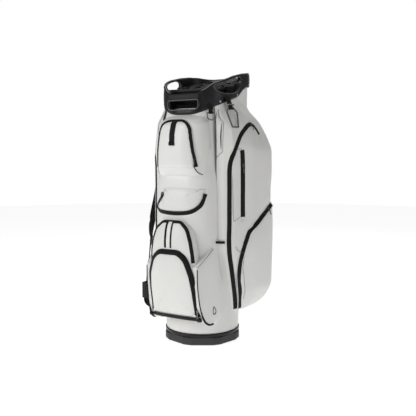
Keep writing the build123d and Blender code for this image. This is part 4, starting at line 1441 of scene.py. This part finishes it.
def make_shoulder_strap():
    lower = curve_through(
        [(-175, -60, 352), (-164, -90, 270), (-163, -101, 230), (-165, -104, 190)], 4)
    upper = curve_through([
        (-128, 108, 802), (-146, 104, 792), (-166, 99, 772), (-190, 90, 735), (-207, 85, 690),
        (-217, 80, 650),
    ], 4)
    pad = curve_through([
        (-210, 84, 682), (-217, 80, 650), (-220, 70, 585), (-217, 58, 520), (-210, 28, 472),
        (-199, -9, 430), (-186, -42, 384), (-174, -63, 346),
    ], 4)
    tail = curve_through(
        [(-167, -105, 146), (-163, -106, 126), (-147, -106, 114), (-112, -106, 108)], 3)
    slope = np.gradient(tail, axis=0)
    tail_out = unit(np.column_stack([-np.abs(slope[:, 2]), slope[:, 1] * 0, -np.abs(slope[:, 0])]))
    for name, path, out, crown in (
        ("upper", upper, strap_out(upper), 0.4), ("lower", lower, strap_out(lower), 0.4),
        ("tail", tail, tail_out, 0.3),
    ):
        strap(f"strap_{name}_web", path, out, 28, 2.8, WEBBING, crown=crown, cad=["strap_" + name])
    # padded middle: a long cushion with bound edges and three sewn bars
    n = len(pad)
    out = strap_out(pad)
    side = np.cross(unit(np.gradient(pad, axis=0)), out)
    along, across = np.linspace(0, 1, n), np.linspace(-1, 1, 21)
    ends = np.sqrt(np.maximum(1 - np.abs(2 * along - 1) ** 10, 0.02))
    half = PAD_HALF_WIDTH * (0.72 + 0.28 * ends)
    bars = sum(np.exp(-((along - b) / 0.018) ** 2) for b in (0.16, 0.5, 0.84))
    puff = 7.5 * ends * (1 - 0.55 * bars)
    rows = []
    for i in range(n):
        rows += [pad[i] + side[i] * half[i] * a + out[i] * (2.0 + puff[i] * (1 - abs(a) ** 3.2))
                 for a in across]
        rows += [pad[i] + side[i] * half[i] * a - out[i] * (0.6 + 1.4 * (1 - a * a))
                 for a in across[::-1]]
    m = 2 * len(across)
    faces = grid_faces(n, m, closed=True) + end_faces(n, m)
    uv_along = np.repeat(np.arange(n) * 4 * MM, m)
    uv_round = np.tile(np.concatenate([across, across[::-1] + 3]) * 0.024, n)
    made = piece("strap_pad", rows, faces, MESH_PAD,
                 uvs=np.column_stack([uv_along, uv_round]), cad=["shoulder_pad"])
    for a, tag in ((-1, "a"), (1, "b")):
        edge = pad + side * (half * a)[:, None] + out * 0.9
        strap("pad_binding_" + tag, edge, out, 5.0, 3.0, EDGE_TAPE, crown=0.6, low=-1.4)


def make_spine():
    """Padded back panel with sewn channels, and the lift handle over it."""
    outline = closed_fillet([(-42, 152), (42, 152), (42, 868), (-42, 868)], (18, 18, 14, 14), 4.0)

    def place(xz, height):
        return np.column_stack([xz[:, 0], TUBE(xz[:, 1])[:, 2] + height, xz[:, 1]])

    def rise(xz, _, s):
        channels = -3.6 * sum(np.exp(-((xz[:, 0] - c) / 2.0) ** 2) for c in (-14, 14))
        channels *= ramp(xz[:, 1], 170, 190) * ramp(-xz[:, 1], -856, -836)
        return 1.8 * (1 - s**6) + channels

    made = stuffed("spine_pad", outline, place, [(0, -3), (0, 3.5), (1.2, 6), (3.5, 7.4)], 1.8, rise,
                   ["spine_panel"], rings=34)
    bow = curve_through([
        (0, 163, 716), (0, 183, 694), (0, 194, 650), (0, 194.5, 590), (0, 188, 550), (0, 163, 524),
    ], 3)
    out = unit(np.cross(np.gradient(bow, axis=0), [1.0, 0, 0]))
    out *= np.sign(out[:, 1:2] + 1e-9)
    strap("back_handle", bow, out, 27, 4.2, WEBBING, crown=0.8, cad=["rear_handle"])


# ---- rings' webbing, badges and keepers ----
D_RING_AT, TOWEL_RING_AT = (95.5, -108.5, 774.0), (138.5, -50.0, 790.0)


def make_tabs():
    """Webbing that holds the D-ring and the towel ring."""
    outward = np.array([0.7071, -0.7071, 0])
    line = resample(np.array(D_RING_AT) - outward + np.array([(0, 0, h) for h in (27, 18, 9, 1)]), 2)
    strap("d_tab", line, facing(line, *outward), 14, 4.0, WEBBING, crown=0.4, cad=["d_ring_tab"],
          low=-1.6)
    loop_round("d_tab_loop", D_RING_AT, (0.7071, 0.7071, 0), 14, 3.6)
    x, y, z = TOWEL_RING_AT
    outward = unit([0.9755, -0.22, 0.0]) + np.array([0, 0, 0.25])
    line = curve_through(
        [(x - 12, y, z + 36), (x - 9.5, y, z + 24), (x - 5, y, z + 12), (x - 1.2, y, z + 1)], 2)
    strap("towel_web", line, facing(line, *unit(outward)), 22, 3.6, WEBBING, crown=0.4,
          cad=["towel_strap"], low=-1.2)
    loop_round("towel_web_loop", TOWEL_RING_AT, (0.22, 0.9755, 0), 22, 4.0)


def loop_round(name, at, along, width, radius):
    """Webbing wrapped round a ring's bar, left open inside for the bar."""
    at, along, up = np.asarray(at, float), unit(along), np.array([0, 0, 1.0])
    side = unit(np.cross(along, up))
    angles = np.linspace(0, 2 * math.pi, 25)[:-1]
    verts = [
        at + along * width * w + (side * math.cos(a) + up * math.sin(a)) * r
        for w, r in ((-0.5, radius), (0.5, radius), (0.5, radius - 1.4), (-0.5, radius - 1.4))
        for a in angles
    ]
    faces = grid_faces(4, len(angles), closed=True) + loop_faces(4, len(angles))
    return piece(name, verts, faces, WEBBING)


def make_keepers_and_badges(quick_surfaces):
    for side in (-1, 1):
        line = curve_through([(side * x, y, 353) for x, y in (
            (98, -96), (106, -97.5), (118, -93), (130, -87.5), (135, -84))], 1.5)
        out = unit(np.cross(np.gradient(line, axis=0), [0, 0, side * -1.0]))
        out *= np.sign(-out[:, 1:2] + 1e-9)
        strap("keeper_" + SIDES[side], line, out, 8.5, 2.0, WEBBING, crown=0.3,
              cad=["keeper_tabs"] if side > 0 else ())
        ring = [(0, y - 132, z + 128) for y, z in oval(9, 10, 48)]
        found, out = onto_side(quick_surfaces[side], ring, side, 300.0)
        swept("badge_" + SIDES[side], found + out * 0.3, out, oval(2.0, 1.3, 8), GUNMETAL,
              ["side_badges"] if side > 0 else (), closed_path=True)


def zip_slider(node_name, at, out):
    """A zip's slider with its bridge and a long pull that hangs from it, on the slider's own body."""
    out, down = unit(out), np.array([0, 0, -1.0])
    down = unit(down - out * (down @ out))
    side = np.cross(down, out)

    def block(centre, width, length, height, upper_end=1.0, lower_end=1.0):
        verts = [
            centre + down * d * length + side * w * width * end + out * u * height
            for d, end in ((-0.5, upper_end), (0.5, lower_end))
            for w, u in ((-0.5, 0), (0.5, 0), (0.42, 1), (-0.42, 1))
        ]
        faces = [(0, 1, 2, 3), (7, 6, 5, 4), (0, 4, 5, 1), (1, 5, 6, 2), (2, 6, 7, 3), (3, 7, 4, 0)]
        return np.array(verts), faces, np.zeros((8, 2)), 0

    verts, faces, uvs, _ = joined([
        block(at, 8.5, 11.5, 3.0, 1.0, 0.72),
        block(at + out * 2.6, 3.2, 8.0, 2.2),
        block(at + out * 3.4 + down * 14, 4.2, 20, 1.3, 0.8, 1.15),
    ])
    body = body_of(frame["nodes"][node_name])[0]
    made = piece(node_name + "_pull", verts, faces, GUNMETAL, body, uvs=uvs, smooth=False,
                 cad=[node_name])
    bevel(made, 0.5, 2, 35)


def bevel(made, width, segments, angle):
    modifier(made, "BEVEL", width=width * MM, segments=segments, limit_method="ANGLE",
             angle_limit=math.radians(angle))


# ---------------------------------------------------------------- studio
CAMERA_AT, CAMERA_PITCH, CAMERA_TURN, CAMERA_LENS = (1.062, -1.800, 0.637), 85, 30, 51.92
FLOOR_RADIUS = 6.0


def make_studio():
    """Camera, pale floor, a world that is white to the camera but lights only dimly, four lamps."""
    camera = linked("camera", bpy.data.cameras.new("camera"))
    camera.location = CAMERA_AT
    camera.rotation_euler = (math.radians(CAMERA_PITCH), 0, math.radians(CAMERA_TURN))
    camera.data.sensor_width = 36
    camera.data.lens = CAMERA_LENS
    bpy.context.scene.camera = camera
    mesh = bpy.data.meshes.new("floor")
    ring = [(x, y, 0) for x, y in oval(FLOOR_RADIUS, FLOOR_RADIUS, 64)]
    mesh.from_pydata([(0, 0, 0)] + ring, [], [(0, i + 1, (i + 1) % 64 + 1) for i in range(64)])
    material, _, shader = new_material("floor_paper", specular=0.2)
    for socket, value in (
        ("Base Color", (0.3, 0.3, 0.3, 1)), ("Emission Color", (1, 1, 1, 1)),
        ("Emission Strength", 0.9), ("Roughness", 0.9),
    ):
        shader.inputs[socket].default_value = value
    mesh.materials.append(material)
    linked("floor", mesh)
    world = bpy.data.worlds.new("studio")
    bpy.context.scene.world = world
    world.use_nodes = True
    tree = world.node_tree
    background = tree.nodes["Background"]
    background.inputs["Color"].default_value = (1, 1, 1, 1)
    background.inputs["Strength"].default_value = 1.0
    dim = add_node(tree, "ShaderNodeBackground", {"Color": (1, 1, 1, 1), "Strength": 0.14})
    seen = tree.nodes.new("ShaderNodeLightPath")
    mix = tree.nodes.new("ShaderNodeMixShader")
    tree.links.new(seen.outputs["Is Camera Ray"], mix.inputs[0])
    tree.links.new(dim.outputs[0], mix.inputs[1])
    tree.links.new(background.outputs[0], mix.inputs[2])
    tree.links.new(mix.outputs[0], tree.nodes["World Output"].inputs["Surface"])
    for name, at, towards, size, power in (
        ("key", (-1.3, -2.9, 1.9), (0, 0, 0.45), 1.5, 52),
        ("top", (0.2, 0.2, 3.2), (0, 0, 0.4), 2.4, 16),
        ("side", (3.0, -0.4, 1.5), (0, 0, 0.5), 1.4, 8),
        ("back", (-0.6, 2.6, 1.8), (0, 0, 0.5), 2.0, 10),
    ):
        light = bpy.data.lights.new(name, "AREA")
        light.size, light.energy = size, power
        lamp = linked(name, light)
        lamp.location = at
        lamp.rotation_euler = (Vector(towards) - Vector(at)).to_track_quat("-Z", "Y").to_euler()
    bpy.context.scene.view_settings.view_transform = "Standard"


# ---------------------------------------------------------------- CAD nodes that stay
def finish_nodes():
    """Gives each kept CAD node its material, and a bevel in mm where it has one."""
    for name, material, width in (
        ("rotating_foot", FOOT, 1.0), ("foot_pads", RUBBER, 0.6), ("thrust_washer", PALE_PLASTIC, 0.2),
        ("pivot_bolt", STEEL, 0.4), ("pivot_nut", STEEL, 0.4), ("base_cup", GLOSS, 0.8),
        ("floor_pad", FELT, 1.0), ("stays", ROD, 0), ("strap_channel_liner", LINING, 0),
        ("divider_panels", LINING, 0.5), ("divider_caps", CAP, 0), ("d_ring", GUNMETAL, 0),
        ("towel_ring", GUNMETAL, 0), ("towel_slide", BRIGHT, 0.5), ("strap_buckle", GLOSS, 2.0),
        ("strap_anchor", GUNMETAL, 0.4),
    ):
        node = frame["nodes"][name]
        node.data.materials.clear()
        node.data.materials.append(material)
        if width:
            modifier(node, "WELD", merge_threshold=0.00001)
            bevel(node, width, 3, 30)
    for name, grow in (("d_ring", 0.6), ("towel_ring", 0.9)):
        modifier(frame["nodes"][name], "WELD", merge_threshold=0.00001)
        modifier(frame["nodes"][name], "DISPLACE", strength=grow * MM, mid_level=0.0)


# ---------------------------------------------------------------- build it
def main():
    make_studio()
    finish_nodes()
    make_tube()
    make_gusset()
    parts = make_front_pockets()
    parts["valuables"] = make_valuables()
    base = side_verts()
    sides = {side: make_side(side, base) for side in (1, -1)}
    quick = {side: make_quick(side) for side in (1, -1)}
    make_collar()
    make_grip()
    rim_lines()
    make_screws()
    make_front_zips(parts)
    for side in (1, -1):
        surface = Surface(sides[side])
        make_side_zips(side, surface)
        make_seams(side, surface)
    make_front_straps(parts)
    make_binding()
    make_shoulder_strap()
    make_spine()
    make_tabs()
    make_keepers_and_badges({side: Surface(quick[side]) for side in (1, -1)})
    make_stitches("stitching_white", STITCHES["white"], THREAD)
    make_stitches("stitching_dark", STITCHES["dark"], THREAD_DARK)


main()
